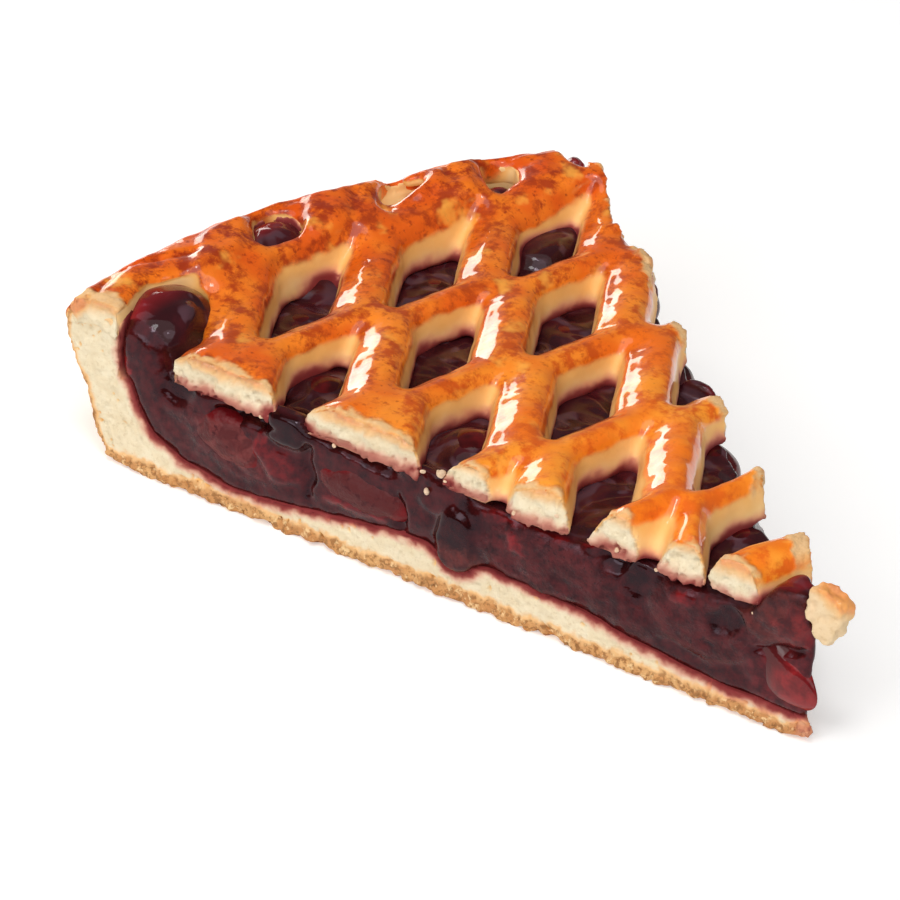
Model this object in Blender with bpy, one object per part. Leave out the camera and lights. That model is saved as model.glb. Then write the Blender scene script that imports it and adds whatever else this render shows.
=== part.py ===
"""A slice of lattice-topped cherry pie: one eighth of a flat, round, rimmed pie.

Frame: metres, +Z up, standing on z = 0. The cut that shows (the near cut) lies in a plane of
constant y and faces -Y. The rim end of that cut points to -X and the tip of the slice to +X.
The far cut leaves the tip at 45 degrees to the near cut. The origin is at the middle of the
bounding box's underside.

Each shape is worked out around the tip of the slice, which is the centre of the whole pie:
r is the distance from the tip, phi the angle from the near cut, x and y are plan coordinates
with the tip at zero.
"""
import math

import bmesh
import bpy
from mathutils import Matrix, Vector

MM = 0.001

# Driving dimensions, in millimetres until a vertex is placed.
TIP = (71.25, -47.7)          # where the tip of the slice stands in the part's frame
SLICE_ANGLE = 45.0            # one eighth of a round pie
OUTER_RADIUS = 145.0          # widest radius of the rim
UNDERSIDE_RADIUS = 133.5      # radius of the flat underside
RIM_TOP = 27.6                # top of the shell's rim, below the folded lattice ends
RIM_SET_BACK = 2.8            # degrees that the rim stops short of the far cut
GAP = 0.35                    # clearance between neighbouring pieces

LATTICE_TOP = 27.0
LATTICE_BOTTOM = 20.9
LATTICE_RIM_TOP = 30.9        # top of the strip ends folded over the rim
LATTICE_OUTER = 143.8
NEAR_END_TUCK = 2.4           # how much further in the rim's top stands at the near cut
FOLD_ANGLES = (14.0, 24.7, 33.5)  # where the column strips are folded over the rim
FOLD_HEIGHT = 0.9
PITCH_ROW = (11.0, 21.55)     # from one window to the next along a row, x and y
PITCH_COLUMN = (16.3, -20.8)  # from one window to the next along a column
FIRST_WINDOW = (-87.5, 13.7)  # nearest corner of window (0, 0)
WINDOW_SHORT_SIDE = (4.3, 14.7)
WINDOW_LONG_SIDE = (-9.4, 19.8)
WINDOW_SHARP = 1.3            # corner radius at the slit ends
WINDOW_ROUND = 4.2            # corner radius where the slit was pulled open
SHOULDER = 1.3                # how far the strips' top edges are rounded

FILLING_TOP = 19.4
FILLING_RECESS = 0.4          # the filling's cut face lies this far behind the crust's
CHERRY_RADIUS = 7.2

CRUMB = (0.83, 0.66, 0.42)
GLAZED_CRUST = (0.76, 0.27, 0.04)
CHERRY_SKIN = (0.16, 0.010, 0.016)
CUT_CHERRY = (0.30, 0.06, 0.07)
CHERRY_GEL = (0.085, 0.012, 0.018)


# ---------------------------------------------------------------- frame and helpers

def place(x, y, z):
    """Plan coordinates about the tip, in millimetres, to a point of the part's frame."""
    return Vector(((x + TIP[0]) * MM, (y + TIP[1]) * MM, z * MM))


def polar(r, phi, z):
    angle = math.radians(180.0 - phi)
    return place(r * math.cos(angle), r * math.sin(angle), z)


def smooth_step(low, high, value):
    t = min(max((value - low) / (high - low), 0.0), 1.0)
    return t * t * (3.0 - 2.0 * t)


def along(points, value):
    """Height of a smooth line through (distance, height) points."""
    if value <= points[0][0]:
        return points[0][1]
    for (a, za), (b, zb) in zip(points, points[1:]):
        if value <= b:
            return za + (zb - za) * smooth_step(a, b, value)
    return points[-1][1]


def material(name, colour, roughness):
    existing = bpy.data.materials.get(name)
    if existing:
        return existing
    made = bpy.data.materials.new(name)
    made.use_nodes = True
    shader = made.node_tree.nodes["Principled BSDF"]
    shader.inputs["Base Color"].default_value = (*colour, 1.0)
    shader.inputs["Roughness"].default_value = roughness
    shader.inputs["Metallic"].default_value = 0.0
    return made


def make_object(name, mesh_data, finish):
    mesh = bpy.data.meshes.new(name)
    bmesh.ops.recalc_face_normals(mesh_data, faces=mesh_data.faces)
    mesh_data.to_mesh(mesh)
    mesh_data.free()
    made = bpy.data.objects.new(name, mesh)
    bpy.context.scene.collection.objects.link(made)
    if finish:
        mesh.materials.append(finish)
    return made


def loft(rings):
    """A closed solid through rings of points, each ring closed, with flat ends."""
    data = bmesh.new()
    rows = [[data.verts.new(point) for point in ring] for ring in rings]
    count = len(rows[0])
    for near, far in zip(rows, rows[1:]):
        for i in range(count):
            j = (i + 1) % count
            data.faces.new((near[i], near[j], far[j], far[i]))
    data.faces.new(list(reversed(rows[0])))
    data.faces.new(rows[-1])
    data.normal_update()
    bmesh.ops.triangulate(data, faces=[face for face in data.faces if len(face.verts) > 4])
    return data


def cutter(name, mesh_data):
    made = make_object(name, mesh_data, None)
    made.hide_render = True
    made.display_type = "WIRE"
    return made


def cut_with(target, tool):
    step = target.modifiers.new("cut " + tool.name, "BOOLEAN")
    step.operation = "DIFFERENCE"
    step.solver = "EXACT"
    step.object = tool


def stations(first, last, count):
    return [first + (last - first) * i / (count - 1) for i in range(count)]


# ---------------------------------------------------------------- pastry shell

BASE_TOP = ((2.0, 4.6), (17.0, 4.4), (30.0, 5.8), (45.0, 8.0), (76.0, 9.2), (92.0, 6.6), (106.0, 5.2), (121.0, 6.2))


def base_top(r):
    return along(BASE_TOP, r)


def wall_give(phi):
    """The shell's inner wall stands further out behind the near cut, pushed by the fruit."""
    return 4.6 * smooth_step(0.5, 6.0, phi) + 2.6 * math.exp(-((phi - 18.0) / 5.0) ** 2)


def shell_section(phi):
    """Section of base and rim at an angle, as (r, z) points around it."""
    give = wall_give(phi)
    outer = [(UNDERSIDE_RADIUS, 0.0), (137.2, 3.0), (139.4, 7.5), (141.0, 13.0), (143.6, 18.0)]
    outer += [(OUTER_RADIUS, 21.5), (OUTER_RADIUS, 24.5), (143.2, RIM_TOP - 0.5), (139.5, RIM_TOP)]
    inner = [(134.0 + 0.4 * give, RIM_TOP), (131.4 + give, RIM_TOP - 1.6), (133.2 + give, 23.0)]
    inner += [(131.2 + give, 17.5), (128.4 + 0.8 * give, 10.0), (125.0 + 0.4 * give, 7.2)]
    floor = [(r, base_top(r)) for r in (120.0, 106.0, 98.0, 90.0, 80.0, 70.0, 55.0, 45.0, 37.0, 30.0, 17.0, 4.0)]
    return outer + inner + floor + [(1.4, 3.6), (2.0, 0.9), (4.6, 0.0)]


def make_shell():
    angles = stations(0.0, SLICE_ANGLE, 16)
    rings = [[polar(r, phi, z) for r, z in shell_section(phi)] for phi in angles]
    shell = make_object("pastry_shell", loft(rings), material("baked crumb", CRUMB, 0.7))
    cut_with(shell, rim_trim)
    return shell


def make_rim_trim():
    """The rim's far end was cut a little shorter than the rest of the slice."""
    start = SLICE_ANGLE - RIM_SET_BACK
    plan = [(127.0, 44.9), (132.0, start + 1.5), (138.0, start + 0.4), (143.0, start - 0.5), (150.0, start - 1.0)]
    plan += [(150.0, 50.0), (127.0, 50.0)]
    rings = [[polar(r, phi, z) for r, phi in plan] for z in (-2.0, 40.0)]
    return cutter("rim_trim", loft(rings))


# ---------------------------------------------------------------- lattice

WINDOWS = [(-1, -1), (0, -1), (1, -1), (2, -1), (-1, 0), (0, 0), (1, 0), (2, 0),
           (0, 1), (1, 1), (2, 1), (0, 2), (1, 2), (2, 2), (1, 3)]
# The half windows along the rim: corners in plan, corner radii, and how deep each one goes.
RIM_WINDOWS = (
    (((-125.5, -9.0), (-120.8, 6.5), (-131.0, 26.0), (-138.2, 12.0), (-133.2, -9.0)), (2.0, 4.5, 1.5, 6.0, 2.0), 18.0),
    (((-130.4, 33.6), (-126.8, 47.0), (-129.0, 51.5), (-133.8, 40.3)), (1.0, 2.5, 1.5, 2.5), 18.0),
    (((-120.0, 55.3), (-115.9, 68.5), (-119.4, 71.6), (-124.2, 63.9)), (1.0, 2.5, 1.5, 2.5), 25.4),
    (((-109.2, 76.8), (-106.2, 86.8), (-109.0, 87.6), (-112.2, 82.8)), (1.0, 2.0, 1.0, 2.0), 18.0),
)


def rounded(corners, radii, steps=3):
    """A polygon with each corner replaced by a short arc."""
    points = []
    count = len(corners)
    for i, corner in enumerate(corners):
        here = Vector(corner)
        back = Vector(corners[i - 1]) - here
        ahead = Vector(corners[(i + 1) % count]) - here
        reach = min(radii[i] / math.tan(back.angle(ahead) / 2.0), 0.45 * back.length, 0.45 * ahead.length)
        start = here + back.normalized() * reach
        end = here + ahead.normalized() * reach
        for k in range(steps):
            t = k / (steps - 1)
            points.append(start * (1 - t) ** 2 + here * 2 * t * (1 - t) + end * t * t)
    return points


def window_outline(index, grow):
    """Plan of one window, grown outwards on all sides by grow."""
    m, n = index
    near = Vector(FIRST_WINDOW) + m * Vector(PITCH_ROW) + n * Vector(PITCH_COLUMN)
    short, long = Vector(WINDOW_SHORT_SIDE), Vector(WINDOW_LONG_SIDE)
    corners = [near, near + short, near + short + long, near + long]
    middle = near + (short + long) / 2.0
    out_short = Vector((short.y, -short.x)).normalized()
    out_long = Vector((long.y, -long.x)).normalized()
    spread = 1.0 / abs(out_short.x * out_long.y - out_short.y * out_long.x)
    moved = []
    for corner in corners:
        side = corner - middle
        sign_short = 1.0 if side.dot(out_short) > 0 else -1.0
        sign_long = 1.0 if side.dot(out_long) > 0 else -1.0
        push = (short.normalized() * sign_long + long.normalized() * sign_short) * spread * grow
        moved.append(corner + push)
    radii = [WINDOW_SHARP, WINDOW_ROUND, WINDOW_SHARP, WINDOW_ROUND]
    return rounded(moved, radii)


def lattice_rise(r):
    """How far up the rim the lattice has climbed, from 0 inside the rim to 1 on its top."""
    return smooth_step(125.0, 134.5, r)


def rim_fold(phi):
    """Height of the soft humps where column strips turn over the rim."""
    return FOLD_HEIGHT * sum(math.exp(-((phi - at) / 2.4) ** 2) for at in FOLD_ANGLES)


def lattice_outer(phi):
    return LATTICE_OUTER - NEAR_END_TUCK * (1.0 - smooth_step(0.5, 7.0, phi))


def lattice_top(r, phi):
    swell = 1.3 * math.exp(-((r - 36.0) / 12.0) ** 2)
    on_rim = LATTICE_RIM_TOP + rim_fold(phi) - LATTICE_TOP
    droop = 1.8 * smooth_step(lattice_outer(phi) - 5.0, lattice_outer(phi), r)
    return LATTICE_TOP + swell + on_rim * lattice_rise(r) - droop


def lattice_bottom(r):
    on_rim = RIM_TOP + GAP + 0.1
    return LATTICE_BOTTOM + (on_rim - LATTICE_BOTTOM) * smooth_step(124.0, 131.5, r)


def tip_side(phi):
    """Radius at which the lattice ends towards the tip: a straight edge beside the last row."""
    near_end, far_end = Vector((-23.6, 0.0)), Vector((-20.6, 20.6))
    edge = far_end - near_end
    ray = Vector((-math.cos(math.radians(phi)), math.sin(math.radians(phi))))
    return (near_end.x * edge.y - near_end.y * edge.x) / (ray.x * edge.y - ray.y * edge.x)


def make_lattice():
    rings = []
    for phi in stations(0.0, SLICE_ANGLE, 16):
        radii = [tip_side(phi), 34.0, 42.0, 52.0, 62.0, 124.0, 126.5, 129.0, 131.5, 134.5, 138.0]
        radii += [lattice_outer(phi) - 2.2, lattice_outer(phi)]
        top = [polar(r, phi, lattice_top(r, phi)) for r in radii]
        bottom = [polar(r, phi, lattice_bottom(r)) for r in reversed(radii)]
        rings.append(top + bottom)
    lattice = make_object("pastry_lattice", loft(rings), material("glazed crust", GLAZED_CRUST, 0.3))
    for index in WINDOWS:
        cut_with(lattice, make_window(index))
    for number, (corners, radii, low) in enumerate(RIM_WINDOWS, 1):
        outline = rounded(corners, radii)
        rings = [[place(point.x, point.y, z) for point in outline] for z in (low, 36.0)]
        cut_with(lattice, cutter("rim_window_%d" % number, loft(rings)))
    cut_with(lattice, rim_trim)
    return lattice


def make_window(index):
    """The tool that cuts one window, flared at the top so that the strips get round shoulders."""
    levels = [(18.0, 0.0), (LATTICE_TOP - 1.6, 0.0), (LATTICE_TOP - 0.45, 0.45 * SHOULDER)]
    levels += [(LATTICE_TOP + 0.4, 1.5 * SHOULDER), (34.0, 1.5 * SHOULDER)]
    rings = []
    for z, grow in levels:
        rings.append([place(point.x, point.y, z) for point in window_outline(index, grow)])
    return cutter("window_%d_%d" % index, loft(rings))


# ---------------------------------------------------------------- pieces near the tip

def strip_section(half_bottom, half_top, low, high):
    """Section across a loose strip: a bar with round shoulders, as (offset, height)."""
    right = [(half_bottom, low), (half_bottom + 0.3, low + 1.4), (half_top + 0.9, high - 1.6)]
    right += [(half_top, high - 0.5), (half_top * 0.4, high)]
    left = [(-offset, z) for offset, z in reversed(right)]
    return right + left


def make_tip_strip():
    """The last row of the lattice, cut off from the rest, lying across the slice by the tip."""
    stops = ((-17.2, 0.2, 0.0), (-15.4, 4.8, 0.2), (-13.2, 9.2, 0.1), (-11.4, 12.6, -0.6))
    rings = []
    for x, y, lift in stops:
        slant = -0.22 * smooth_step(0.0, 4.0, y)
        section = strip_section(4.3, 2.1, 21.4 + lift, 27.9 + lift)
        rings.append([place(x + offset, y + slant * offset, z) for offset, z in section])
    return make_object("tip_strip", loft(rings), material("glazed crust", GLAZED_CRUST, 0.3))


def make_tip_bit():
    """A scrap of the outermost row, left hanging over the tip."""
    rings = []
    for y, lean, half, low, high in ((-0.8, -1.0, 2.0, 19.4, 28.4), (0.7, -0.5, 2.7, 18.2, 29.4), (2.3, -0.1, 2.1, 20.6, 28.4)):
        section = [(half, low + 1.5), (half + 0.3, low + 5.0), (half * 0.7, high - 0.8), (0.0, high)]
        section += [(-half * 0.7, high - 0.6), (-half, low + 4.0), (-half * 0.6, low + 0.4), (half * 0.3, low)]
        rings.append([place(lean + offset, y, z) for offset, z in section])
    return make_object("tip_scrap", loft(rings), material("glazed crust", GLAZED_CRUST, 0.3))


# ---------------------------------------------------------------- filling and cherries

def filling_top(r, phi):
    ripple = 0.35 * math.sin(0.23 * r + 0.31 * phi) + 0.25 * math.sin(0.41 * r - 0.2 * phi)
    hump = 6.3 * math.exp(-((r - 7.4) / 2.2) ** 2)
    return FILLING_TOP + ripple * smooth_step(12.0, 22.0, r) + hump


def filling_section(phi):
    give = wall_give(phi)
    wall = [(125.0 + 0.4 * give, 7.2), (128.4 + 0.8 * give, 10.0), (131.2 + give, 17.5)]
    outer = [(r - GAP - 0.25, z + 0.25) for r, z in wall] + [(131.4 + give, FILLING_TOP + 0.2)]
    radii_top = (126.0, 116.0, 104.0, 92.0, 80.0, 68.0, 56.0, 44.0, 33.0, 22.0, 14.0, 10.0, 7.4, 5.6)
    top = [(r, filling_top(r, phi)) for r in radii_top]
    tip = [(4.2, 17.0), (3.0, 13.5), (1.9, 9.5), (1.7, 5.8)]
    floor_radii = (4.0, 17.0, 30.0, 37.0, 45.0, 55.0, 70.0, 80.0, 90.0, 98.0, 106.0, 120.0)
    floor = [(r, base_top(r) + GAP + 0.05) for r in floor_radii]
    return outer + top + tip + floor


def make_filling():
    rings = []
    for t in stations(0.0, 1.0, 10):
        ring = []
        for r, z in filling_section(t * SLICE_ANGLE):
            margin = math.degrees(math.asin(min(FILLING_RECESS / max(r, 1.6), 0.32)))
            ring.append(polar(r, margin + t * (SLICE_ANGLE - 2.0 * margin), z))
        rings.append(ring)
    return make_object("cherry_filling", loft(rings), material("cherry gel", CHERRY_GEL, 0.2))


# Whole cherries: plan centre, height of the centre and half sizes along x, y and z.
WHOLE = CHERRY_RADIUS
CHERRIES = (
    ((-130.4, 12.6, 19.6), (7.9, 7.9, 7.6)),
    ((-127.0, 43.4, 21.0), (6.3, 6.8, 6.6)),
    ((-118.4, 31.6, 13.8), (WHOLE, 7.0, 6.4)),
    ((-107.5, 55.5, 13.6), (WHOLE, WHOLE, 6.6)),
    ((-96.8, 76.4, 13.7), (7.4, 7.0, 6.5)),
    ((-91.6, 33.6, 14.6), (WHOLE, 6.9, 5.6)),
    ((-80.8, 55.6, 13.8), (WHOLE, 7.6, 6.4)),
    ((-64.6, 36.0, 14.3), (6.9, 7.4, 5.9)),
    ((-72.6, 13.6, 16.4), (6.9, 6.7, 6.5)),
    ((-102.4, 15.4, 14.6), (7.0, 7.0, 6.6)),
    ((-48.6, 16.4, 14.4), (6.6, 6.8, 5.6)),
    ((-41.0, 36.4, 15.4), (5.6, 5.8, 5.6)),
    ((-25.6, 17.6, 15.6), (5.2, 5.6, 5.6)),
    ((-79.4, 75.6, 15.6), (5.8, 5.8, 6.0)),
    ((-60.6, 56.0, 15.4), (5.8, 5.8, 6.0)),
    ((-100.0, 88.6, 21.6), (5.6, 5.6, 5.8)),
    ((-6.4, 2.9, 10.2), (4.6, 3.4, 4.6)),
)
# Cherries halved by the near cut, flush with the filling's face.
CUT_CHERRIES = (
    ((-111.6, 12.8), (8.3, 6.5, 4.7)),
    ((-85.4, 12.9), (9.4, 6.5, 3.9)),
    ((-66.0, 11.6), (4.9, 5.5, 3.6)),
)
CHERRY_SIDES = 11
CHERRY_RINGS = 7


def ball(centre, half, grow=0.0):
    """A cherry's rounded shape: a sphere, slightly dimpled on top, at its own half sizes."""
    data = bmesh.new()
    bmesh.ops.create_uvsphere(data, u_segments=CHERRY_SIDES, v_segments=CHERRY_RINGS, radius=1.0)
    middle = place(*centre)
    for vert in data.verts:
        size = Vector((half[0] + grow, half[1] + grow, half[2] + grow)) * MM
        vert.co = middle + Vector((vert.co.x * size.x, vert.co.y * size.y, vert.co.z * size.z))
    return data


def halved(data, y):
    """Keep the part of a closed mesh behind a plane of constant y and close the cut."""
    everything = data.verts[:] + data.edges[:] + data.faces[:]
    plane = place(0.0, y, 0.0)
    bmesh.ops.bisect_plane(data, geom=everything, plane_co=plane, plane_no=(0, -1, 0), clear_outer=True)
    bmesh.ops.holes_fill(data, edges=[e for e in data.edges if e.is_boundary], sides=0)
    return data


def joined(parts):
    data = bmesh.new()
    for part in parts:
        mesh = bpy.data.meshes.new("joining")
        part.to_mesh(mesh)
        part.free()
        data.from_mesh(mesh)
        bpy.data.meshes.remove(mesh)
    return data


def make_cherries():
    skin = material("cherry skin", CHERRY_SKIN, 0.12)
    flesh = material("cut cherry", CUT_CHERRY, 0.3)
    for number, (centre, half) in enumerate(CHERRIES, 1):
        make_object("cherry_%02d" % number, ball(centre, half), skin).data.shade_smooth()
    for number, ((x, z), half) in enumerate(CUT_CHERRIES, 1):
        make_object("cut_cherry_%d" % number, halved(ball((x, 0.0, z), half), FILLING_RECESS), flesh)


def make_pockets():
    """Room for every cherry, with the clearance, as one tool."""
    whole = [ball(centre, half, GAP) for centre, half in CHERRIES]
    cut = [ball((x, 0.0, z), half, GAP) for (x, z), half in CUT_CHERRIES]
    return cutter("cherry_pockets", joined(whole + cut))


def remove_old_objects():
    for old in list(bpy.data.objects):
        bpy.data.objects.remove(old, do_unlink=True)


remove_old_objects()
rim_trim = make_rim_trim()
pockets = make_pockets()
for body in (make_shell(), make_lattice(), make_filling(), make_tip_strip(), make_tip_bit()):
    cut_with(body, pockets)
make_cherries()
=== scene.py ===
# %% [markdown]
# # A slice of cherry pie
# A round, flat pie was baked with a lattice of slit dough on top, glazed, and cut into eighths. This lesson
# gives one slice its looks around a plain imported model: crumb and browned skin on the dough, shine on the
# lattice, and wet, dark fruit between them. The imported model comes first, since each piece made here takes
# the place of one of its nodes.

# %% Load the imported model
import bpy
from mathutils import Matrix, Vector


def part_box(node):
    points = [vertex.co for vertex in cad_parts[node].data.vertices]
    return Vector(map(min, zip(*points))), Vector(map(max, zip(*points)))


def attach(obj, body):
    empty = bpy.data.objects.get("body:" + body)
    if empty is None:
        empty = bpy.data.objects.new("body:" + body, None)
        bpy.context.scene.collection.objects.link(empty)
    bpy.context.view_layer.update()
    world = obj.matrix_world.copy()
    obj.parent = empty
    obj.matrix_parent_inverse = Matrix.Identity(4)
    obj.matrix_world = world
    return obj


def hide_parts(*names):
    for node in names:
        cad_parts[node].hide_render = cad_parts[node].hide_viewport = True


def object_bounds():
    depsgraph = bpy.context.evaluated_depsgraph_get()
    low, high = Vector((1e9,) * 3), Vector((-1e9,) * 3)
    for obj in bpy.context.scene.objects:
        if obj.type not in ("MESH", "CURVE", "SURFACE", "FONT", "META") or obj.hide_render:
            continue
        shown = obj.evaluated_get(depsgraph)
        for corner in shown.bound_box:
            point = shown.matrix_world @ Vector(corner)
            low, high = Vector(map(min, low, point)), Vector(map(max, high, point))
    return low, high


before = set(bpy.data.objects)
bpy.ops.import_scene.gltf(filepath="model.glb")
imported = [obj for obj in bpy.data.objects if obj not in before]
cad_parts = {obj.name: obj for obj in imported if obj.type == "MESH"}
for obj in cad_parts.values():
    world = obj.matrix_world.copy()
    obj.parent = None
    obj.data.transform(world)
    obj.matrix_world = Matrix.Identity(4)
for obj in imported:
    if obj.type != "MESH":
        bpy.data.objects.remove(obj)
print(len(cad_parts), "packed nodes")

# %% [markdown]
# bpy is Blender itself, and numpy moves a mesh's many points at once. Blender's unit here is the metre, and
# this lesson thinks in millimetres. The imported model's box is kept, because no piece may leave it.

# %% Libraries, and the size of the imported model
import math

import bmesh
import bpy
import numpy as np
from mathutils import Matrix, Vector, noise
from mathutils.bvhtree import BVHTree

MM = 0.001
CAD_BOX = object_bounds()
print("packed model, in metres:", [round(high - low, 4) for low, high in zip(*CAD_BOX)])

# %% [markdown]
# Everything about a slice is simplest around its tip, the middle of the whole pie. A place is a distance r
# from the tip and an angle phi from the near cut, or a plan position x, y with the tip at zero, in
# millimetres. The tip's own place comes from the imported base, whose point stands 1 mm from it.

# %% Where the tip stands
SHELL_LOW, SHELL_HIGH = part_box("pastry_shell")
TIP = (SHELL_HIGH.x / MM + 1.0, SHELL_LOW.y / MM)
SLICE_ANGLE = 45.0
OVERRUN = 5.0                 # degrees that a piece is made too long at each cut, before it is cut


def at(x, y, z):
    return Vector(((x + TIP[0]) * MM, (y + TIP[1]) * MM, z * MM))


def polar(r, phi, z):
    turn = math.radians(180.0 - phi)
    return at(r * math.cos(turn), r * math.sin(turn), z)


print("tip of the slice at", [round(v, 2) for v in TIP], "mm")

# %% [markdown]
# Pieces are made as by hand: a primitive is added, edit mode operators shape it, and modifiers finish it.
# An operator acts on all that is selected, so each helper first selects one object alone. A voxel remesh
# rebuilds a piece from small even faces, which noise can then move and smoothing can round.

# %% The hand at the desk
def only(item):
    """Select one object and make it the active one."""
    bpy.ops.object.select_all(action="DESELECT")
    item.select_set(True)
    bpy.context.view_layer.objects.active = item
    return item


def added(name):
    """Name the primitive that was just added."""
    item = bpy.context.object
    item.name = name
    item.data.name = name
    return only(item)


def edit(item, *operators):
    """Run edit mode operators, each given as (operator, settings), on the whole mesh."""
    only(item)
    bpy.ops.object.mode_set(mode="EDIT")
    for operator, settings in operators:
        bpy.ops.mesh.select_all(action="SELECT")
        operator(**settings)
    bpy.ops.object.mode_set(mode="OBJECT")


def apply_modifier(item, kind, **settings):
    only(item)
    made = item.modifiers.new(kind.lower(), kind)
    for key, value in settings.items():
        setattr(made, key, value)
    bpy.ops.object.modifier_apply(modifier=made.name)


def remesh(item, voxel):
    apply_modifier(item, "REMESH", mode="VOXEL", voxel_size=voxel)


def soften(item, times, factor=0.5, **settings):
    apply_modifier(item, "SMOOTH", factor=factor, iterations=times, **settings)


def cut_away(item, cutter):
    apply_modifier(item, "BOOLEAN", operation="DIFFERENCE", solver="EXACT", object=cutter)
    bpy.data.objects.remove(cutter)


def join_into(item, *others):
    only(item)
    for other in others:
        other.select_set(True)
    bpy.ops.object.join()


def ball(name, middle, half, segments, rings, lean=0.0):
    """A sphere drawn out to half sizes, leaned about the y axis, and put at its middle."""
    bpy.ops.mesh.primitive_uv_sphere_add(segments=segments, ring_count=rings, radius=1.0)
    item = added(name)
    bpy.ops.transform.resize(value=half)
    if lean:
        bpy.ops.transform.rotate(value=math.radians(lean), orient_axis="Y", center_override=(0, 0, 0))
    bpy.ops.transform.translate(value=middle)
    bpy.ops.object.transform_apply(location=True, rotation=True, scale=True)
    return item


def count_triangles(item):
    item.data.calc_loop_triangles()
    return len(item.data.loop_triangles)


print("helpers for objects ready")

# %% [markdown]
# Dough and fruit are uneven all over, and a hand can't push half a million points. So a mesh's points are
# read as one array of plan positions and heights, moved by a rule, and written back. Measures that a
# material needs later are kept on the points as attributes.

# %% Points as numbers
def points_of(item):
    """The mesh's points as plan positions and heights, in millimetres."""
    flat = np.empty(len(item.data.vertices) * 3)
    item.data.vertices.foreach_get("co", flat)
    return flat.reshape(-1, 3) / MM - (TIP[0], TIP[1], 0.0)


def normals_of(item):
    flat = np.empty(len(item.data.vertices) * 3)
    item.data.vertex_normals.foreach_get("vector", flat)
    return flat.reshape(-1, 3)


def polar_of(points):
    r = np.hypot(points[:, 0], points[:, 1])
    phi = 180.0 - np.degrees(np.arctan2(points[:, 1], points[:, 0]))
    return r, np.where(phi > 180.0, phi - 360.0, phi)


def facing_out(points, normals):
    """1 where the surface faces straight away from the tip, and -1 where it faces the tip."""
    return np.sum(normals[:, :2] * points[:, :2], axis=1) / np.maximum(polar_of(points)[0], 1.0)


def survey(item):
    """The points, their normals, their distances from the tip and their angles."""
    points = points_of(item)
    return (points, normals_of(item), *polar_of(points))


def pushed(item, points, amount):
    """The points moved outwards by amount."""
    return points + normals_of(item) * amount[:, None]


def move_points(item, points):
    flat = ((points + (TIP[0], TIP[1], 0.0)) * MM).ravel()
    item.data.vertices.foreach_set("co", flat)
    item.data.update()


def keep(item, **measures):
    """Keep measures on the points, each one number a point or one for all."""
    for name, values in measures.items():
        values = np.broadcast_to(values, len(item.data.vertices))
        layer = item.data.attributes.new(name, "FLOAT", "POINT")
        layer.data.foreach_set("value", np.ascontiguousarray(values, np.float32))


print("helpers for points ready")

# %% [markdown]
# Two rules do most of the shaping. A step is a smooth slope from 0 to 1, which says where something
# happens. Lumps are smooth noise, which says how unevenly: each layer has a height, a size and a seed of
# its own, and the same seed always gives the same lumps. Grains are round, as crust is under a lens.

# %% Slopes, lumps and grains
def step(low, high, value):
    """0 below low, 1 above high, and a smooth slope between."""
    t = np.clip((value - low) / (high - low), 0.0, 1.0)
    return t * t * (3.0 - 2.0 * t)


def lumps(points, size, seed=0):
    """Smooth noise between about -1 and 1 that changes over size millimetres."""
    shifted = points / size + 31.7 * seed
    return np.array([noise.noise(p) for p in shifted.tolist()])


def uneven(points, *layers):
    """Layers of lumps added up, each given as (height, size, seed)."""
    return sum(height * lumps(points, size, seed) for height, size, seed in layers)


def grains(points, size, seed=0):
    """Round grains of about size millimetres: 1 in a grain's middle and below 0 between grains."""
    shifted = points / size + 17.3 * seed
    return np.array([1.0 - 1.6 * noise.voronoi(p)[0][0] for p in shifted.tolist()])


print("a step halfway:", step(0.0, 1.0, 0.5))

# %% [markdown]
# ## The knife
# The slice is cut from a whole, so its pieces are too: a piece is turned about the tip past both cuts, its
# skin is made uneven, and only then is it cut flat. That leaves the sharp edge between skin and crumb that
# a knife leaves. Bisect is the knife here, since it closes the cut with a face at once.

# %% Turning a piece about the tip and cutting it on both sides
FAR_NORMAL = (math.sin(math.radians(SLICE_ANGLE)), math.cos(math.radians(SLICE_ANGLE)), 0.0)


def inside_cut(points):
    """How far inside the far cut each point lies, in millimetres."""
    return -(points[:, 0] * FAR_NORMAL[0] + points[:, 1] * FAR_NORMAL[1])


def slice_off(item, point, normal):
    knife = dict(plane_co=point, plane_no=normal, use_fill=True, clear_outer=True)
    edit(item, (bpy.ops.mesh.bisect, knife))


def cut_slice(item, near=0.0, far=0.0):
    """Cut with the knife at both sides, near and far millimetres inside the true cuts."""
    slice_off(item, at(0.0, near, 0.0), (0.0, -1.0, 0.0))
    back = Vector(FAR_NORMAL) * far
    slice_off(item, at(-back.x, -back.y, 0.0), FAR_NORMAL)


def sector(name, section, steps=22):
    """Turn a closed section of (r, z) points about the tip, past both cuts."""
    bpy.ops.mesh.primitive_circle_add(vertices=len(section), radius=0.01)
    item = added(name)
    for vert, (r, z) in zip(item.data.vertices, section):
        vert.co = polar(r, -OVERRUN, z)
    turn = math.radians(SLICE_ANGLE + 2.0 * OVERRUN)
    spin = dict(steps=steps, angle=turn, center=at(0, 0, 0), axis=(0, 0, 1))
    edit(item, (bpy.ops.mesh.spin, spin),
         (bpy.ops.mesh.remove_doubles, dict(threshold=0.00001)))
    edit(item, (bpy.ops.mesh.fill_holes, dict(sides=0)),
         (bpy.ops.mesh.normals_make_consistent, dict(inside=False)))
    return item


print("the far cut faces", [round(v, 3) for v in FAR_NORMAL])

# %% [markdown]
# ## The slits that opened into windows
# The lattice isn't woven. It is one sheet of dough with rows of slits, pulled sideways so that each slit
# opens to a slanted window. One window's two sides and two steps give the whole pattern. The last window
# tore open towards the tip, and four odd half windows stand along the rim.

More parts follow.
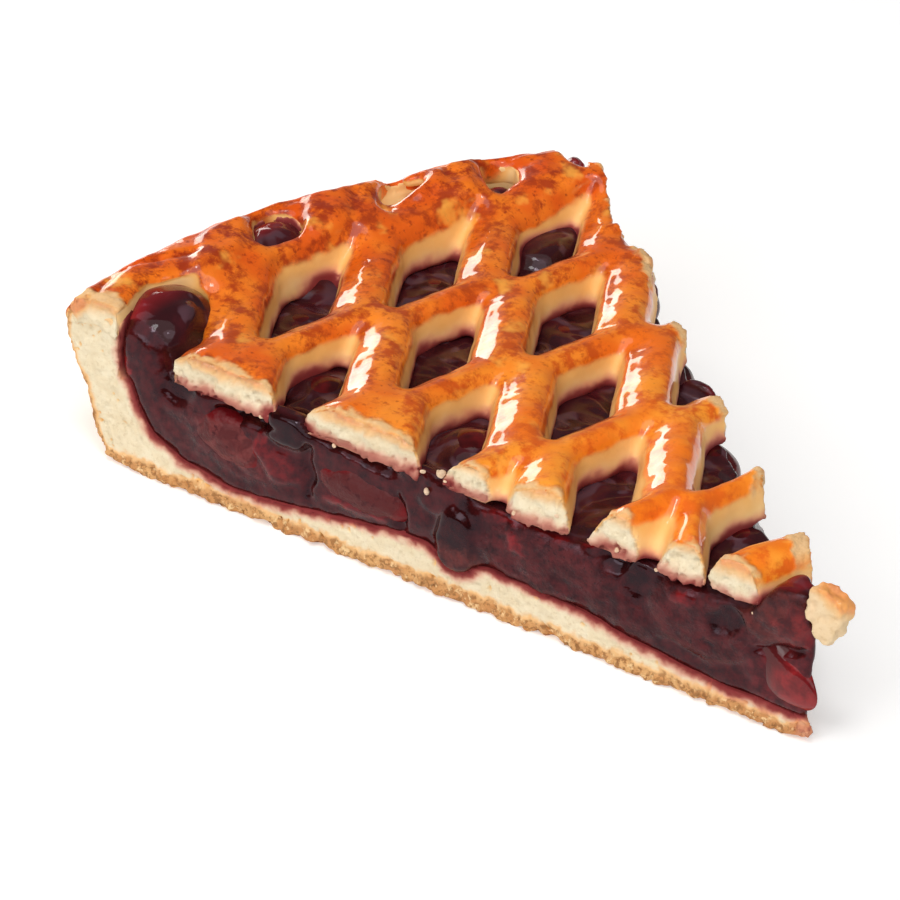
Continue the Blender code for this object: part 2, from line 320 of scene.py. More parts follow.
# %% The windows, from one corner and two steps
FIRST_WINDOW = Vector((-87.5, 13.7))
ROW_STEP = Vector((11.0, 21.55))
COLUMN_STEP = Vector((16.3, -20.8))
SHORT_SIDE = Vector((4.3, 14.7))
LONG_SIDE = Vector((-9.4, 19.8))
WINDOW_RADII = (1.2, 4.4, 1.2, 4.4)
WINDOWS = [(-1, -1), (0, -1), (1, -1), (2, -1), (-1, 0), (0, 0), (1, 0), (2, 0),
           (0, 1), (1, 1), (2, 1), (0, 2), (1, 2), (2, 2), (1, 3)]
SHARES = {(1, -1): 0.82}      # windows that opened less
# corners, and their radii
TIP_NOTCH = (((-18.7, -8.3), (-28.1, 11.5), (-20.5, 37.5), (2.0, 37.5), (2.0, -8.3)),
             (1.2, 4.4, 1.2, 1.2, 1.2))
# corners, their radii, and how deep the window goes in the sheet and in the base
RIM_WINDOWS = (
    (((-125.0, -14.0), (-121.4, 6.4), (-128.2, 17.6), (-131.4, 18.2), (-135.6, 10.4), (-133.8, 3.0),
      (-133.4, -14.0)), (2.0, 3.5, 2.0, 2.5, 4.0, 3.0, 2.0), 17.0, 17.0),
    (((-129.4, 33.0), (-126.8, 41.0), (-127.2, 44.0), (-131.0, 45.4), (-134.2, 43.4), (-134.8, 40.4)),
     (1.0, 2.0, 1.5, 2.0, 2.0, 2.0), 17.0, 17.0),
    (((-120.2, 57.0), (-116.0, 67.0), (-116.6, 72.0), (-119.4, 73.6), (-123.6, 72.2), (-126.0, 69.2),
      (-125.6, 65.8)), (1.0, 2.5, 2.0, 2.0, 2.0, 2.0, 3.0), 24.6, 25.4),
    (((-107.8, 75.2), (-107.2, 82.0), (-110.4, 85.4), (-114.4, 84.0), (-114.8, 81.2), (-110.2, 76.6)),
     (1.0, 2.0, 1.5, 1.5, 1.5, 1.0), 17.0, 17.0),
)


def rounded(corners, radii, steps=4):
    """A plan outline through corners, each one rounded by its radius."""
    points = []
    for i, corner in enumerate(corners):
        here = Vector(corner)
        back = Vector(corners[i - 1]) - here
        ahead = Vector(corners[(i + 1) % len(corners)]) - here
        reach = min(radii[i] / math.tan(back.angle(ahead) / 2.0), 0.45 * back.length, 0.45 * ahead.length)
        start = here + back.normalized() * reach
        end = here + ahead.normalized() * reach
        for k in range(steps):
            t = k / (steps - 1)
            points.append(start * (1 - t) ** 2 + here * 2 * t * (1 - t) + end * t * t)
    return points


def grown(outline, amount):
    """The outline moved outwards by amount on all sides."""
    turn = sum(a.cross(b) for a, b in zip(outline, outline[1:] + outline[:1]))
    sign = 1.0 if turn > 0 else -1.0
    moved = []
    for i, here in enumerate(outline):
        tangent = (outline[(i + 1) % len(outline)] - outline[i - 1]).normalized()
        moved.append(here + Vector((tangent.y, -tangent.x)) * amount * sign)
    return moved


def window_outline(index, grow):
    """One window's outline with its four sides moved outwards by grow."""
    corner = FIRST_WINDOW + index[0] * ROW_STEP + index[1] * COLUMN_STEP
    long_side = LONG_SIDE * SHARES.get(index, 1.0)
    across, along = SHORT_SIDE.normalized(), LONG_SIDE.normalized()
    reach = grow / abs(across.cross(along))
    corners = [corner - (across + along) * reach,
               corner + SHORT_SIDE + (across - along) * reach,
               corner + SHORT_SIDE + long_side + (across + along) * reach,
               corner + long_side + (along - across) * reach]
    return rounded(corners, WINDOW_RADII)


print(len(WINDOWS), "windows, one notch and", len(RIM_WINDOWS), "half windows in the rim")

# %% [markdown]
# A window's walls aren't upright: the sheet pulled open widest at its upper side, so a cutter grows wider
# as it goes up. Scaling an extruded outline would spoil its even growth, so the cutter is built ring by
# ring from outlines that have grown by the right amount.

# %% Cutters that widen upwards
# how much wider the cutter is than the window, at each height
FLARE = ((17.0, -1.0), (19.5, -0.9), (22.0, -0.6), (24.0, -0.3), (25.4, 0.0), (26.3, 0.4), (27.0, 1.0),
         (27.6, 1.7), (36.0, 1.7))
RIM_FLARE = ((27.0, 0.0), (29.0, 0.2), (30.4, 0.7), (31.4, 1.3), (38.0, 1.3))


def through_rings(name, rings):
    """A closed body through rings of places, all with the same number of places."""
    data = bmesh.new()
    rings = [[data.verts.new(place) for place in ring] for ring in rings]
    count = len(rings[0])
    for below, above in zip(rings, rings[1:]):
        for i in range(count):
            j = (i + 1) % count
            data.faces.new((below[i], below[j], above[j], above[i]))
    data.faces.new(rings[0])
    data.faces.new(rings[-1])
    bmesh.ops.recalc_face_normals(data, faces=data.faces)
    bpy.ops.mesh.primitive_cube_add(size=0.01)
    item = added(name)
    data.to_mesh(item.data)
    data.free()
    return item


def cutter(levels, outline_at):
    rings = [[at(p.x, p.y, z) for p in outline_at(grow)] for z, grow in levels]
    return through_rings("window", rings)


def slit_window(index):
    return cutter(FLARE, lambda grow: window_outline(index, grow))


def tip_notch():
    return cutter(FLARE, lambda grow: grown(rounded(*TIP_NOTCH), grow))


def rim_window(corners, radii, low):
    outline = rounded(corners, radii)
    return cutter(((low, 0.0), *RIM_FLARE), lambda grow: grown(outline, grow))


print("a cutter widens by", FLARE[-1][1] - FLARE[0][1], "mm on each side")

# %% [markdown]
# ## The dough base and rim
# The real base is rolled dough pressed into a low, sloping tin, so it is one bowl: a flat floor that swells
# under the fruit, and a wall that leans out and ends in a thick rim. A turned section gives that form at
# once. Here the fruit's weight pushed the floor up and down, and the wall out.

# %% The section of the base and rim
WALL_OUTSIDE = [(133.2, 0.0), (136.4, 1.6), (138.6, 5.0), (139.6, 9.5), (141.0, 14.0), (143.2, 17.5),
                (144.6, 21.0), (144.9, 24.5), (144.2, 27.0), (142.0, 28.8), (138.0, 29.2), (134.4, 28.6)]
WALL_INSIDE = [(132.6, 26.5), (133.3, 24.0), (134.2, 22.0), (133.6, 19.2), (131.4, 17.3), (130.0, 14.0),
               (128.0, 9.5), (124.5, 7.2), (120.0, 5.6)]
FLOOR_R = [1.0, 5.0, 11.0, 18.0, 25.0, 30.0, 36.0, 41.0, 46.4, 53.8, 60.4, 62.1, 66.2, 70.0, 72.4, 75.0,
           80.8, 85.0, 90.5, 98.0, 105.3, 111.9, 115.5, 119.0]
FLOOR_NEAR = [4.2, 4.4, 4.9, 3.9, 4.4, 5.7, 5.3, 7.1, 8.1, 8.5, 8.3, 7.4, 5.8, 5.2, 8.6, 8.2,
              7.3, 6.4, 5.4, 4.4, 3.4, 2.6, 4.2, 5.4]
FLOOR_FAR = [4.4, 4.4, 4.4, 4.6, 5.0, 5.8, 6.7, 7.4, 8.0, 8.3, 8.5, 8.6, 8.8, 8.9, 9.0, 9.1,
             9.0, 8.6, 7.6, 6.2, 5.4, 5.0, 5.2, 5.6]


def floor_top(r, phi):
    """Height of the floor's upper side, which is lumpier at the near cut."""
    near = np.interp(r, FLOOR_R, FLOOR_NEAR)
    far = np.interp(r, FLOOR_R, FLOOR_FAR)
    share = np.exp(-np.abs(phi) * r / 90.0)
    return far + (near - far) * share


def wall_give(phi):
    """The wall's inside stands further out behind the near cut, where the fruit pushed it."""
    return 4.6 * step(0.5, 6.0, phi) + 2.4 * np.exp(-((phi - 18.0) / 5.0) ** 2)


print("section of", len(WALL_OUTSIDE + WALL_INSIDE + FLOOR_R), "points")

# %% [markdown]
# The base is turned, given its waves and its uneven skin while it is still too long, and then cut. At the
# far end of the rim the knife ran a little shorter, so a wedge takes that end off. Near the tip the dough
# is thin and was rubbed smooth, so the smoothing there is stronger, by a vertex group.

# %% Turn, shape and cut the base
TURNED_VOXEL = 0.0011         # in metres
SHELL_VOXEL = 0.00046
SHELL_INSET = (0.35, 0.5)     # how far inside the near and the far cut the knife went
# the wedge's outline, as distances and angles
RIM_END = ((106.0, 45.8), (110.0, 45.2), (113.5, 43.6), (117.0, 43.0), (121.0, 43.3), (125.0, 43.7),
           (130.0, 43.9), (134.4, 44.2), (134.9, 42.5), (137.2, 41.7), (144.0, 41.3), (152.0, 41.1),
           (152.0, 52.0), (106.0, 52.0))


def shape_shell(shell):
    """Push the wall out, wave the floor, and make the skin uneven."""
    points, normals, r, phi = survey(shell)
    inner = (normals[:, 2] > -0.2) & (r < 138.0) & (points[:, 2] > 2.0)
    on_wall = step(118.0, 130.0, r) * inner
    outwards = points[:, :2] / np.maximum(r, 1.0)[:, None]
    points[:, :2] += outwards * (wall_give(phi) * on_wall * step(28.0, 23.0, points[:, 2]))[:, None]
    on_floor = inner & (r < 122.0)
    points[:, 2] += np.where(on_floor, floor_top(r, phi) - floor_top(r, 0.0), 0.0)
    points[:, 2] -= 1.6 * step(3.0, 0.0, points[:, 1]) * step(25.0, 28.0, points[:, 2])
    points = pushed(shell, points, uneven(points, (0.35, 9.0, 1), (0.2, 3.5, 2)))
    points[:, 2] = np.maximum(points[:, 2], 0.35 + 0.45 * lumps(points, 5.0, 3))
    move_points(shell, points)
    soften(shell, 2)


def rim_end(item, inset=0.0):
    """Shave the far end by the rim, where the knife ran a little shorter."""
    bpy.ops.mesh.primitive_circle_add(vertices=len(RIM_END), radius=0.01, fill_type="NGON")
    wedge = added("wedge")
    for vert, (r, phi) in zip(wedge.data.vertices, RIM_END):
        vert.co = polar(r, phi - inset, -3.0)
    raised = dict(TRANSFORM_OT_translate={"value": (0.0, 0.0, 0.045)})
    edit(wedge, (bpy.ops.mesh.extrude_region_move, raised),
         (bpy.ops.mesh.normals_make_consistent, dict(inside=False)))
    cut_away(item, wedge)


def rub_tip(shell):
    near_tip = shell.vertex_groups.new(name="near the tip")
    r, phi = polar_of(points_of(shell))
    for i in np.nonzero(r < 7.0)[0]:
        near_tip.add([int(i)], float(step(6.5, 2.5, r[i])), "REPLACE")
    soften(shell, 45, 0.7, vertex_group=near_tip.name)


floor_line = list(zip(FLOOR_R[::-1], FLOOR_NEAR[::-1]))
shell = sector("crust_base", WALL_OUTSIDE + WALL_INSIDE + floor_line + [(0.4, 2.5), (0.4, 0.0)])
remesh(shell, TURNED_VOXEL)
shape_shell(shell)
for corners, radii, sheet_low, base_low in RIM_WINDOWS:
    cut_away(shell, rim_window(corners, radii, base_low))
cut_slice(shell, *SHELL_INSET)
rim_end(shell)
remesh(shell, SHELL_VOXEL)
rub_tip(shell)
print("base:", count_triangles(shell), "triangles")

# %% [markdown]
# A knife tears baked crumb: it leaves soft lumps, and pores where air bubbles were. So the points of the
# cut faces are found by their place and normal and pushed in and out. The base's lower skin has round
# brown grains. In the end the even mesh has more faces than its shape needs, and Decimate thins it.

# %% Torn crumb on the cuts, and grains on the base
BASE_KEPT = 0.72              # share of the base's faces that stay
CUT_REACH = 0.8               # how far behind a cut a point still belongs to it


def cut_mask(item, depth):
    """How much each point belongs to one of the cut faces."""
    points, normals, r, phi = survey(item)
    near = (points[:, 1] < depth) * step(0.35, 0.7, -normals[:, 1])
    far_depth = depth + 5.5 * step(106.0, 128.0, r)
    return np.maximum(near, (inside_cut(points) < far_depth) * step(0.45, 0.8, -inside_cut(normals)))


def roughen_cut(item, mask, seed, tear=0.3):
    """Push the points of a cut face in and out, as a knife tears baked crumb."""
    points = points_of(item)
    depth = uneven(points, (tear, 3.6, seed), (0.1 + 0.4 * tear, 1.5, seed + 1))
    pores = np.maximum(lumps(points, 1.3, seed + 3) - 0.2, 0.0)
    pores = pores + np.maximum(lumps(points, 0.75, seed + 4) - 0.15, 0.0)
    move_points(item, pushed(item, points, mask * (depth - (0.6 + 0.7 * tear) * pores)))


def grain_skin(item):
    """Round grains low on the base, where the crust browned against the tin."""
    points = points_of(item)
    low = step(3.6, 1.8, points[:, 2] + 0.7 * lumps(points, 4.0, 15))
    crusty = low * step(0.3, -0.3, normals_of(item)[:, 2] - 0.2)
    height = 0.2 + 0.7 * grains(points, 1.6, 2) + 0.3 * lumps(points, 5.0, 16)
    points = pushed(item, points, crusty * height)
    points[:, 2] = np.maximum(points[:, 2], 0.02)
    move_points(item, points)


roughen_cut(shell, cut_mask(shell, CUT_REACH), 11)
grain_skin(shell)
apply_modifier(shell, "DECIMATE", ratio=BASE_KEPT)
shell_cut = cut_mask(shell, CUT_REACH)
print("base, thinned:", count_triangles(shell), "triangles")

# %% [markdown]
# ## The lattice
# The sheet lies over the fruit and climbs the rim. So it is turned as a flat ring from a section, like the
# base, and the windows are cut out of it. Its height is one rule of r and phi, because the colours need it
# again later: the sheet swells near the tip and bends down over the rim.

# %% The sheet of dough
LATTICE_TOP = 27.0
RIM_CROWN = 30.5
SHEET_UNDERSIDE = 19.0


def sheet_top(r, phi):
    swell = 1.3 * np.exp(-((r - 36.0) / 12.0) ** 2)
    rise = (RIM_CROWN - LATTICE_TOP) * step(124.0, 135.0, r)
    edge = 145.2 - 2.4 * (1.0 - step(0.5, 7.0, phi))
    return LATTICE_TOP + swell + rise - 3.4 * step(edge - 3.6, edge, r)


def make_sheet():
    radii = [14.0, 24.0, 30.0, 36.0, 42.0, 52.0, 62.0, 80.0, 100.0, 118.0, 124.0, 127.0, 130.0, 133.0, 136.0,
             139.0, 141.0, 142.4, 143.4, 144.4]
    top = [(r, float(sheet_top(r, 10.0))) for r in radii]
    outer = [(145.2, 27.0), (145.0, 24.8), (143.0, 24.2), (139.0, 26.0), (135.0, 25.5), (132.5, 21.5),
             (129.5, 19.2)]
    under = [(r, SHEET_UNDERSIDE) for r in (80.0, 30.0, 14.0)]
    return sector("crust_lattice", top + outer + under, steps=26)


lattice = make_sheet()
for index in WINDOWS:
    cut_away(lattice, slit_window(index))
for shape in RIM_WINDOWS:
    cut_away(lattice, rim_window(*shape[:3]))
cut_away(lattice, tip_notch())
print("sheet with its windows:", count_triangles(lattice), "triangles")

# %% [markdown]
# Two curls of dough lie in the third rim window, and four flakes stand off the torn ends. Each is a round
# roll along a few stops: a curve with a bevel, made a mesh. The curls are joined to the sheet before it is
# softened, as they baked into it, and the flakes only after the cut.

# %% Rolls of dough
# stops as x, y, z and a share of the thickness, then the thickness
CURLS = (
    (((-122.6, 60.0, 27.6, 0.7), (-119.4, 60.8, 28.2, 1.0), (-117.4, 64.4, 28.0, 1.0),
      (-115.6, 68.6, 28.0, 0.9), (-114.4, 72.0, 28.4, 0.7)), 1.4),
    (((-123.0, 68.6, 29.2, 0.8), (-121.0, 71.8, 30.0, 1.0), (-118.0, 71.8, 30.4, 1.0),
      (-117.2, 68.4, 30.2, 1.0), (-117.6, 64.8, 29.6, 1.0), (-118.4, 61.6, 28.8, 0.8)), 1.6),
)
FLAKES = (
    (((-88.0, 78.6, 25.8, 1.0), (-86.2, 80.0, 26.2, 1.0), (-85.2, 81.0, 26.8, 0.8)), 1.9),
    (((-79.6, 74.0, 25.8, 1.0), (-78.0, 75.0, 26.4, 1.0), (-77.4, 75.6, 27.2, 0.8)), 1.7),
    (((-99.6, 93.0, 29.2, 1.0), (-97.8, 93.4, 29.4, 0.9), (-96.4, 93.8, 29.8, 0.5)), 1.4),
    (((-139.6, 3.0, 29.2, 1.0), (-140.4, 2.0, 30.2, 0.8), (-140.8, 0.8, 31.4, 0.6)), 0.5),
)


def rope(name, stops, thickness):
    bpy.ops.curve.primitive_nurbs_path_add()
    curve = bpy.context.object
    curve.name = name
    curve.data.splines.clear()
    spline = curve.data.splines.new("NURBS")
    spline.points.add(len(stops) - 1)
    for point, (x, y, z, share) in zip(spline.points, stops):
        point.co = (*at(x, y, z), 1.0)
        point.radius = share
    spline.use_endpoint_u = True
    spline.order_u = 3
    curve.data.bevel_depth = thickness * MM
    curve.data.bevel_resolution = 3
    curve.data.use_fill_caps = True
    only(curve)
    bpy.ops.object.convert(target="MESH")
    return added(name)


join_into(lattice, *[rope("curl", stops, thickness) for stops, thickness in CURLS])
remesh(lattice, 0.0007)
soften(lattice, 5)
print("sheet with its curls, softened:", count_triangles(lattice), "triangles")

# %% [markdown]
# The strips are pillows: their edges sit lower than their middles, most of all on the left, where the slit
# pulled them. So the height needs each point's distance from the nearest window edge. On the rim the strip
# ends were folded over, and a crease runs along the outer edge: both follow a path of stops.

# %% How far from a window's edge, and from a path
def distance_to_outlines(points, outlines, most=22.0):
    """Plan distance from the nearest window edge; 0 inside a window."""
    away = np.full(len(points), 1e9)
    for outline in outlines:
        here = np.array([tuple(p) for p in outline])
        ahead = np.roll(here, -1, axis=0)
        turn = np.sum(here[:, 0] * ahead[:, 1] - here[:, 1] * ahead[:, 0])
        close = np.nonzero(np.hypot(*(points[:, :2] - here.mean(axis=0)).T) < most)[0]
        near = points[close, None, :2] - here[None]
        span = (ahead - here)[None]
        t = np.clip((near * span).sum(-1) / (span * span).sum(-1), 0.0, 1.0)
        found = np.hypot(*np.moveaxis(near - t[..., None] * span, -1, 0))
        side = (span[..., 0] * near[..., 1] - span[..., 1] * near[..., 0]) * np.sign(turn)
        inside = (side > 0).all(axis=1)
        away[close] = np.minimum(away[close], np.where(inside, 0.0, found.min(axis=1)))
    return away


def distance_along(points, path):
    """Plan distance from a line through stops, in millimetres."""
    away = np.full(len(points), 1e9)
    for (ax, ay), (bx, by) in zip(path, path[1:]):
        span = np.array((bx - ax, by - ay))
        t = np.clip(((points[:, :2] - (ax, ay)) @ span) / (span @ span), 0.0, 1.0)
        away = np.minimum(away, np.hypot(*(points[:, :2] - (ax, ay) - t[:, None] * span).T))
    return away


print("distance helpers ready")

# %% [markdown]
# Now every point of the sheet gets its height: folds and crease on the rim, waves as the dough proved, the
# pillows, and an edge that droops a little at both cuts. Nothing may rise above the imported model, so the
# highest places are held down. The knife comes after that, and then one more remesh rounds all of it.

# %% Strips, folds and cuts of the lattice
CROWN = 1.35                  # how much lower a strip's left edge is than its middle
SHOULDER = 4.0                # how far its rounded shoulder reaches in
SHOULDER_SHIFT = Vector((1.3, 0.7))
HIGHEST = 31.6
LATTICE_VOXEL = 0.0005
LATTICE_INSET = (0.2, 0.6)
CREASE = ((-139.7, -1.0), (-140.4, 4.0), (-141.5, 9.6), (-140.8, 14.1), (-138.4, 18.0), (-136.0, 21.5),
          (-134.4, 25.2))
# the middle line of each folded end, and half its width
FOLDS = ((((-126.0, 15.0), (-132.5, 27.0), (-137.5, 35.0)), 4.0),
         (((-121.5, 43.0), (-128.8, 53.5), (-134.0, 61.5)), 4.2),
         (((-111.5, 68.0), (-116.5, 75.0), (-121.5, 81.5)), 4.0))


def rim_relief(points, r, phi):
    """Folded ends and the crease on the rim, as a height."""
    wander = r + 1.2 * lumps(points, 13.0, 5)
    crease = 0.5 * np.exp(-((wander - 141.6) / 0.5) ** 2) * step(10.0, 13.0, phi)
    crease = np.maximum(crease, np.exp(-(distance_along(points, CREASE) / 0.5) ** 2))
    folds = [step(half + 0.2, half - 1.2, distance_along(points, path)) for path, half in FOLDS]
    fold = np.max(folds, axis=0) * step(142.5, 139.5, r)
    return 1.1 * fold - 1.2 * crease * (1.0 - 0.6 * fold) + uneven(points, (0.3, 8.0, 6), (0.3, 3.4, 17))


def strip_share(points):
    """1 at a window's edge, and less towards the middle of a strip."""
    edges = [window_outline(index, 0.4) for index in WINDOWS]
    edges += [rounded(shape[0], shape[1]) for shape in RIM_WINDOWS]
    edges.append(grown(rounded(*TIP_NOTCH), 0.4))
    shoulders = [[p + SHOULDER_SHIFT for p in outline] for outline in edges]
    return 1.0 - np.minimum(distance_to_outlines(points, shoulders), SHOULDER) / SHOULDER


def shape_strips(lattice):
    points, normals, r, phi = survey(lattice)
    far = inside_cut(points)
    up = step(0.0, 0.7, normals[:, 2])
    on_rim = step(130.0, 134.0, r)
    points[:, 2] += up * on_rim * rim_relief(points, r, phi)
    points[:, 2] += up * uneven(points, (0.40, 12.0, 7), (0.24, 4.5, 8), (0.10, 2.0, 9))
    pillow = 0.25 - CROWN * strip_share(points) ** 2 * (1.0 - 0.5 * on_rim)
    points[:, 2] += pillow * step(22.0, 26.0, points[:, 2])
    points[:, :2] += normals[:, :2] * uneven(points, (0.30, 7.0, 10), (0.12, 2.6, 12))[:, None]
    end = np.minimum(points[:, 1], far)
    droop = step(3.2, -0.4, end) * step(22.0, 27.0, points[:, 2])
    points[:, 2] -= droop * (0.8 + 0.7 * lumps(points, 4.0, 13))
    under = step(23.0, 20.0, points[:, 2]) * step(131.5, 129.5, r)
    points[:, 2] += under * (1.2 * step(6.0, 1.5, end) + 0.6 * lumps(points, 3.5, 14))
    points[:, 2] = np.minimum(points[:, 2], HIGHEST)
    move_points(lattice, points)


shape_strips(lattice)
cut_slice(lattice, *LATTICE_INSET)
rim_end(lattice)
join_into(lattice, *[rope("flake", stops, thickness) for stops, thickness in FLAKES])
remesh(lattice, LATTICE_VOXEL)
soften(lattice, 4)
print("lattice:", count_triangles(lattice), "triangles")

# %% [markdown]
# The knife dragged at the crisp sheet, so its cuts are rougher than the base's, and beside them the glaze
# tore off in a ragged band. The band is found by its distance from the cut with some noise, made rough,
# and kept as a measure, since its colour is crumb and not glaze.

# %% Torn edges of the lattice
LATTICE_TEAR = 0.95


def torn_edge(item, cut):
    """Where the glaze tore off the upper side beside a cut; wider on the rim."""
    points, normals, r, phi = survey(item)
    far = inside_cut(points)
    end = np.minimum(points[:, 1], far) + 1.3 * lumps(points, 2.6, 109) + 0.6 * lumps(points, 1.0, 110)
    wide = 2.4 + 1.8 * step(130.0, 136.0, r) + 1.2 * (far < points[:, 1]) * (r < 128.0)
    torn = step(wide, wide - 1.6, end) * (1.0 - cut) * step(0.2, 0.7, normals[:, 2])
    rough = uneven(points, (0.5, 1.6, 18), (0.4, 0.8, 19))
    move_points(item, pushed(item, points, torn * rough))
    return torn


lattice_cut = cut_mask(lattice, 1.0)
roughen_cut(lattice, lattice_cut, 21, LATTICE_TEAR)
lattice_torn = torn_edge(lattice, lattice_cut)
print("torn points on the lattice:", int((lattice_torn > 0.5).sum()))

# %% [markdown]
# ## The last strip and the scrap at the tip
# Two bits of lattice lie free near the tip. Neither is straight nor even, so each is built ring by ring
# along a few stops from one section, and gets the same softening as the sheet. The strip also gets the
# sheet's torn ends, and the scrap is made uneven all over.

# %% Loose strip and scrap
# a section as (offset, height), stops as (x, y, slant), and for each stop a lift and a share of the width
STRIP_SECTION = ((4.6, 21.2), (4.7, 22.6), (3.4, 25.6), (2.3, 27.3), (0.8, 27.9), (-0.9, 27.9),
                 (-2.4, 27.2), (-3.6, 25.6), (-4.6, 23.0), (-3.6, 21.4), (0.0, 20.9))
STRIP_STOPS = ((-17.3, -1.2, 0.0), (-17.2, 0.6, 0.0), (-15.6, 4.8, -0.2), (-13.2, 9.4, -0.22),
               (-11.6, 12.4, -0.22), (-10.6, 15.2, -0.22))
STRIP_SIZES = ((0.0, 0.95), (0.0, 1.0), (0.3, 1.0), (0.2, 1.0), (0.1, 0.95), (0.0, 0.9))
SCRAP_SECTION = ((1.4, 0.6), (2.0, 2.8), (3.1, 5.2), (3.0, 6.8), (1.6, 8.4), (0.2, 8.6), (-1.4, 9.4),
                 (-3.4, 8.8), (-3.9, 4.2), (-2.4, 2.0), (-1.4, 0.2), (0.2, -0.4))
SCRAP_STOPS = ((-1.2, -0.8, 0.0), (-0.9, 0.6, 0.0), (-0.4, 2.2, 0.1))
SCRAP_SIZES = ((19.7, 0.8), (19.3, 1.0), (20.2, 0.8))


def make_bar(name, section, stops, sizes):
    rings = []
    for (x, y, slant), (lift, widen) in zip(stops, sizes):
        rings.append([at(x + o * widen, y + slant * (o * widen), z + lift) for o, z in section])
    return through_rings(name, rings)


strip = make_bar("crust_strip", STRIP_SECTION, STRIP_STOPS, STRIP_SIZES)
remesh(strip, 0.0005)
soften(strip, 5)
cut_slice(strip, 0.0, -0.6)
remesh(strip, 0.0004)
strip_cut = cut_mask(strip, 0.9)
roughen_cut(strip, strip_cut, 31, 0.5)
strip_torn = torn_edge(strip, strip_cut)

scrap = make_bar("crust_scrap", SCRAP_SECTION, SCRAP_STOPS, SCRAP_SIZES)
remesh(scrap, 0.0004)
soften(scrap, 3)
remesh(scrap, 0.0003)
points = points_of(scrap)
move_points(scrap, pushed(scrap, points, uneven(points, (0.7, 2.2, 35), (0.4, 0.9, 36))))
print("strip and scrap:", count_triangles(strip), count_triangles(scrap), "triangles")

# %% [markdown]
# ## The cherries
# The fruit is whole sour cherries, soft from the oven. Each is a sphere set at its packed place and dented
# by noise, and more so beyond the far cut, where they stand free. The one at the tip was squeezed by both
# cuts to a leaning lens, and shows red where its skin is thin.

# %% Cherries, one for each packed one
def boxes_of(prefix):
    names = sorted(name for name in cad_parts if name.startswith(prefix) and name != "cherry_filling")
    return [(name,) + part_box(name) for name in names]


def wedge_of(points):
    """The cherry at the tip, squeezed by both cuts to a leaning lens between them."""
    away = points - points.mean(axis=0)
    x = -8.3 + 1.6 * away[:, 0] - 0.34 * away[:, 2]
    width = np.clip(-x * 0.5, 0.4, 3.0)
    proud = np.interp(x, (-13.0, -9.0, -5.5), (-0.8, 0.1, 0.45))
    side = away[:, 1] / np.abs(away[:, 1]).max()
    y = width + (width + proud - 1.6 * (side > 0.0)) * side
    return np.stack([x, y, 9.9 + 1.32 * away[:, 2]], axis=1)


def make_cherry(name, low, high, number):
    middle = (low + high) / 2.0
    size = (high - low) / 2.0
    if name == "cherry_02":
        size = Vector((size.x * 0.72, size.y * 0.85, size.z * 0.9))
        middle = middle + Vector((-1.6, 0.4, -0.3)) * MM
    cherry = ball(name + "_skin", middle, size, 40, 28)
    points = points_of(cherry)
    outside = step(3.0, -1.0, inside_cut(points))
    shape = (0.22 + 0.65 * outside) * lumps(points, 7.0, 40 + number) - 0.2 - 0.3 * outside
    shape += (0.06 + 0.12 * outside) * lumps(points, 2.8, 60 + number)
    points = pushed(cherry, points, shape)
    if name == "cherry_17":
        points = wedge_of(points)
    move_points(cherry, points)
    inward = np.hypot(np.minimum(points[:, 0] + 4.6, 0.0) / 5.6, (points[:, 2] - 9.6) / 6.4)
    keep(cherry, red=step(1.0, 0.5, inward + 0.1 * lumps(points, 2.5, 99)))
    return cherry


cherries = {}
for number, (name, low, high) in enumerate(boxes_of("cherry_")):
    cherries[name] = make_cherry(name, low, high, number)
print(len(cherries), "cherries")

# %% [markdown]
# ## The gel
# The starch-thickened juice has run level between the cherries and lies in a skin over the higher ones, so
# its surface is one smooth sheet with humps. Juice also boiled up in some windows and pools there, and the
# knife squeezed the gel up between the strips. All of that is one rule for the height.

# %% How high the gel stands
GEL_TOP = 19.6
# x, y, half sizes, height
POOLS = ((-131.2, 40.0, 6.6, 9.4, 29.3), (-130.6, 20.6, 5.0, 5.4, 24.0), (-131.6, 10.0, 9.2, 11.2, 29.4),
         (-110.8, 80.4, 4.2, 5.6, 27.0), (-98.6, 77.8, 6.6, 8.6, 23.2))
# x, half width, rise
SWELLS = ((-100.6, 5.5, 3.4), (-71.5, 6.5, 2.6), (-39.5, 4.0, 1.6), (-115.0, 6.0, 0.8), (-87.0, 6.0, 0.8))


def gel_top(points):
    """Height of the gel: level, drawn up around the cherries and over their shoulders."""
    flat = points * (1.0, 1.0, 0.0)
    level = GEL_TOP + 0.5 * lumps(flat, 8.0, 70) + 0.35 * lumps(flat, 3.6, 71) + 0.2 * lumps(flat, 2.2, 69)
    for name, low, high in boxes_of("cherry_"):
        middle = (low + high) / 2.0
        half = (high - low) / 2.0 / MM
        x, y, z = middle.x / MM - TIP[0], middle.y / MM - TIP[1], middle.z / MM
        away = np.hypot((points[:, 0] - x) / (half.x + 0.4), (points[:, 1] - y) / (half.y + 0.4))
        dome = z + half.z * np.sqrt(np.clip(1.0 - away ** 2, 0.0, 1.0)) - 0.35 + 0.7 * away ** 2
        dome = np.where(away < 1.0, dome, 0.0)
        blend = np.clip(0.5 + 0.5 * (dome - level), 0.0, 1.0)
        level = level + (dome - level) * blend + blend * (1.0 - blend)
    for x, y, wide, deep, top in POOLS:
        away = np.hypot((points[:, 0] - x) / wide, (points[:, 1] - y) / deep)
        level = np.maximum(level, 19.0 + (top - 19.0) * np.clip(1.0 - away ** 2.8, 0.0, 1.0) ** 0.5)
    return level


print("the gel is level at", GEL_TOP, "mm and stands up in", len(POOLS), "pools")

# %% [markdown]
# The gel is turned like the base, a little into its wall, so that no gap shows. Its upper side then takes
# the height rule, it is cut just behind the crumb, and drops that hang out of the cuts are joined to it.

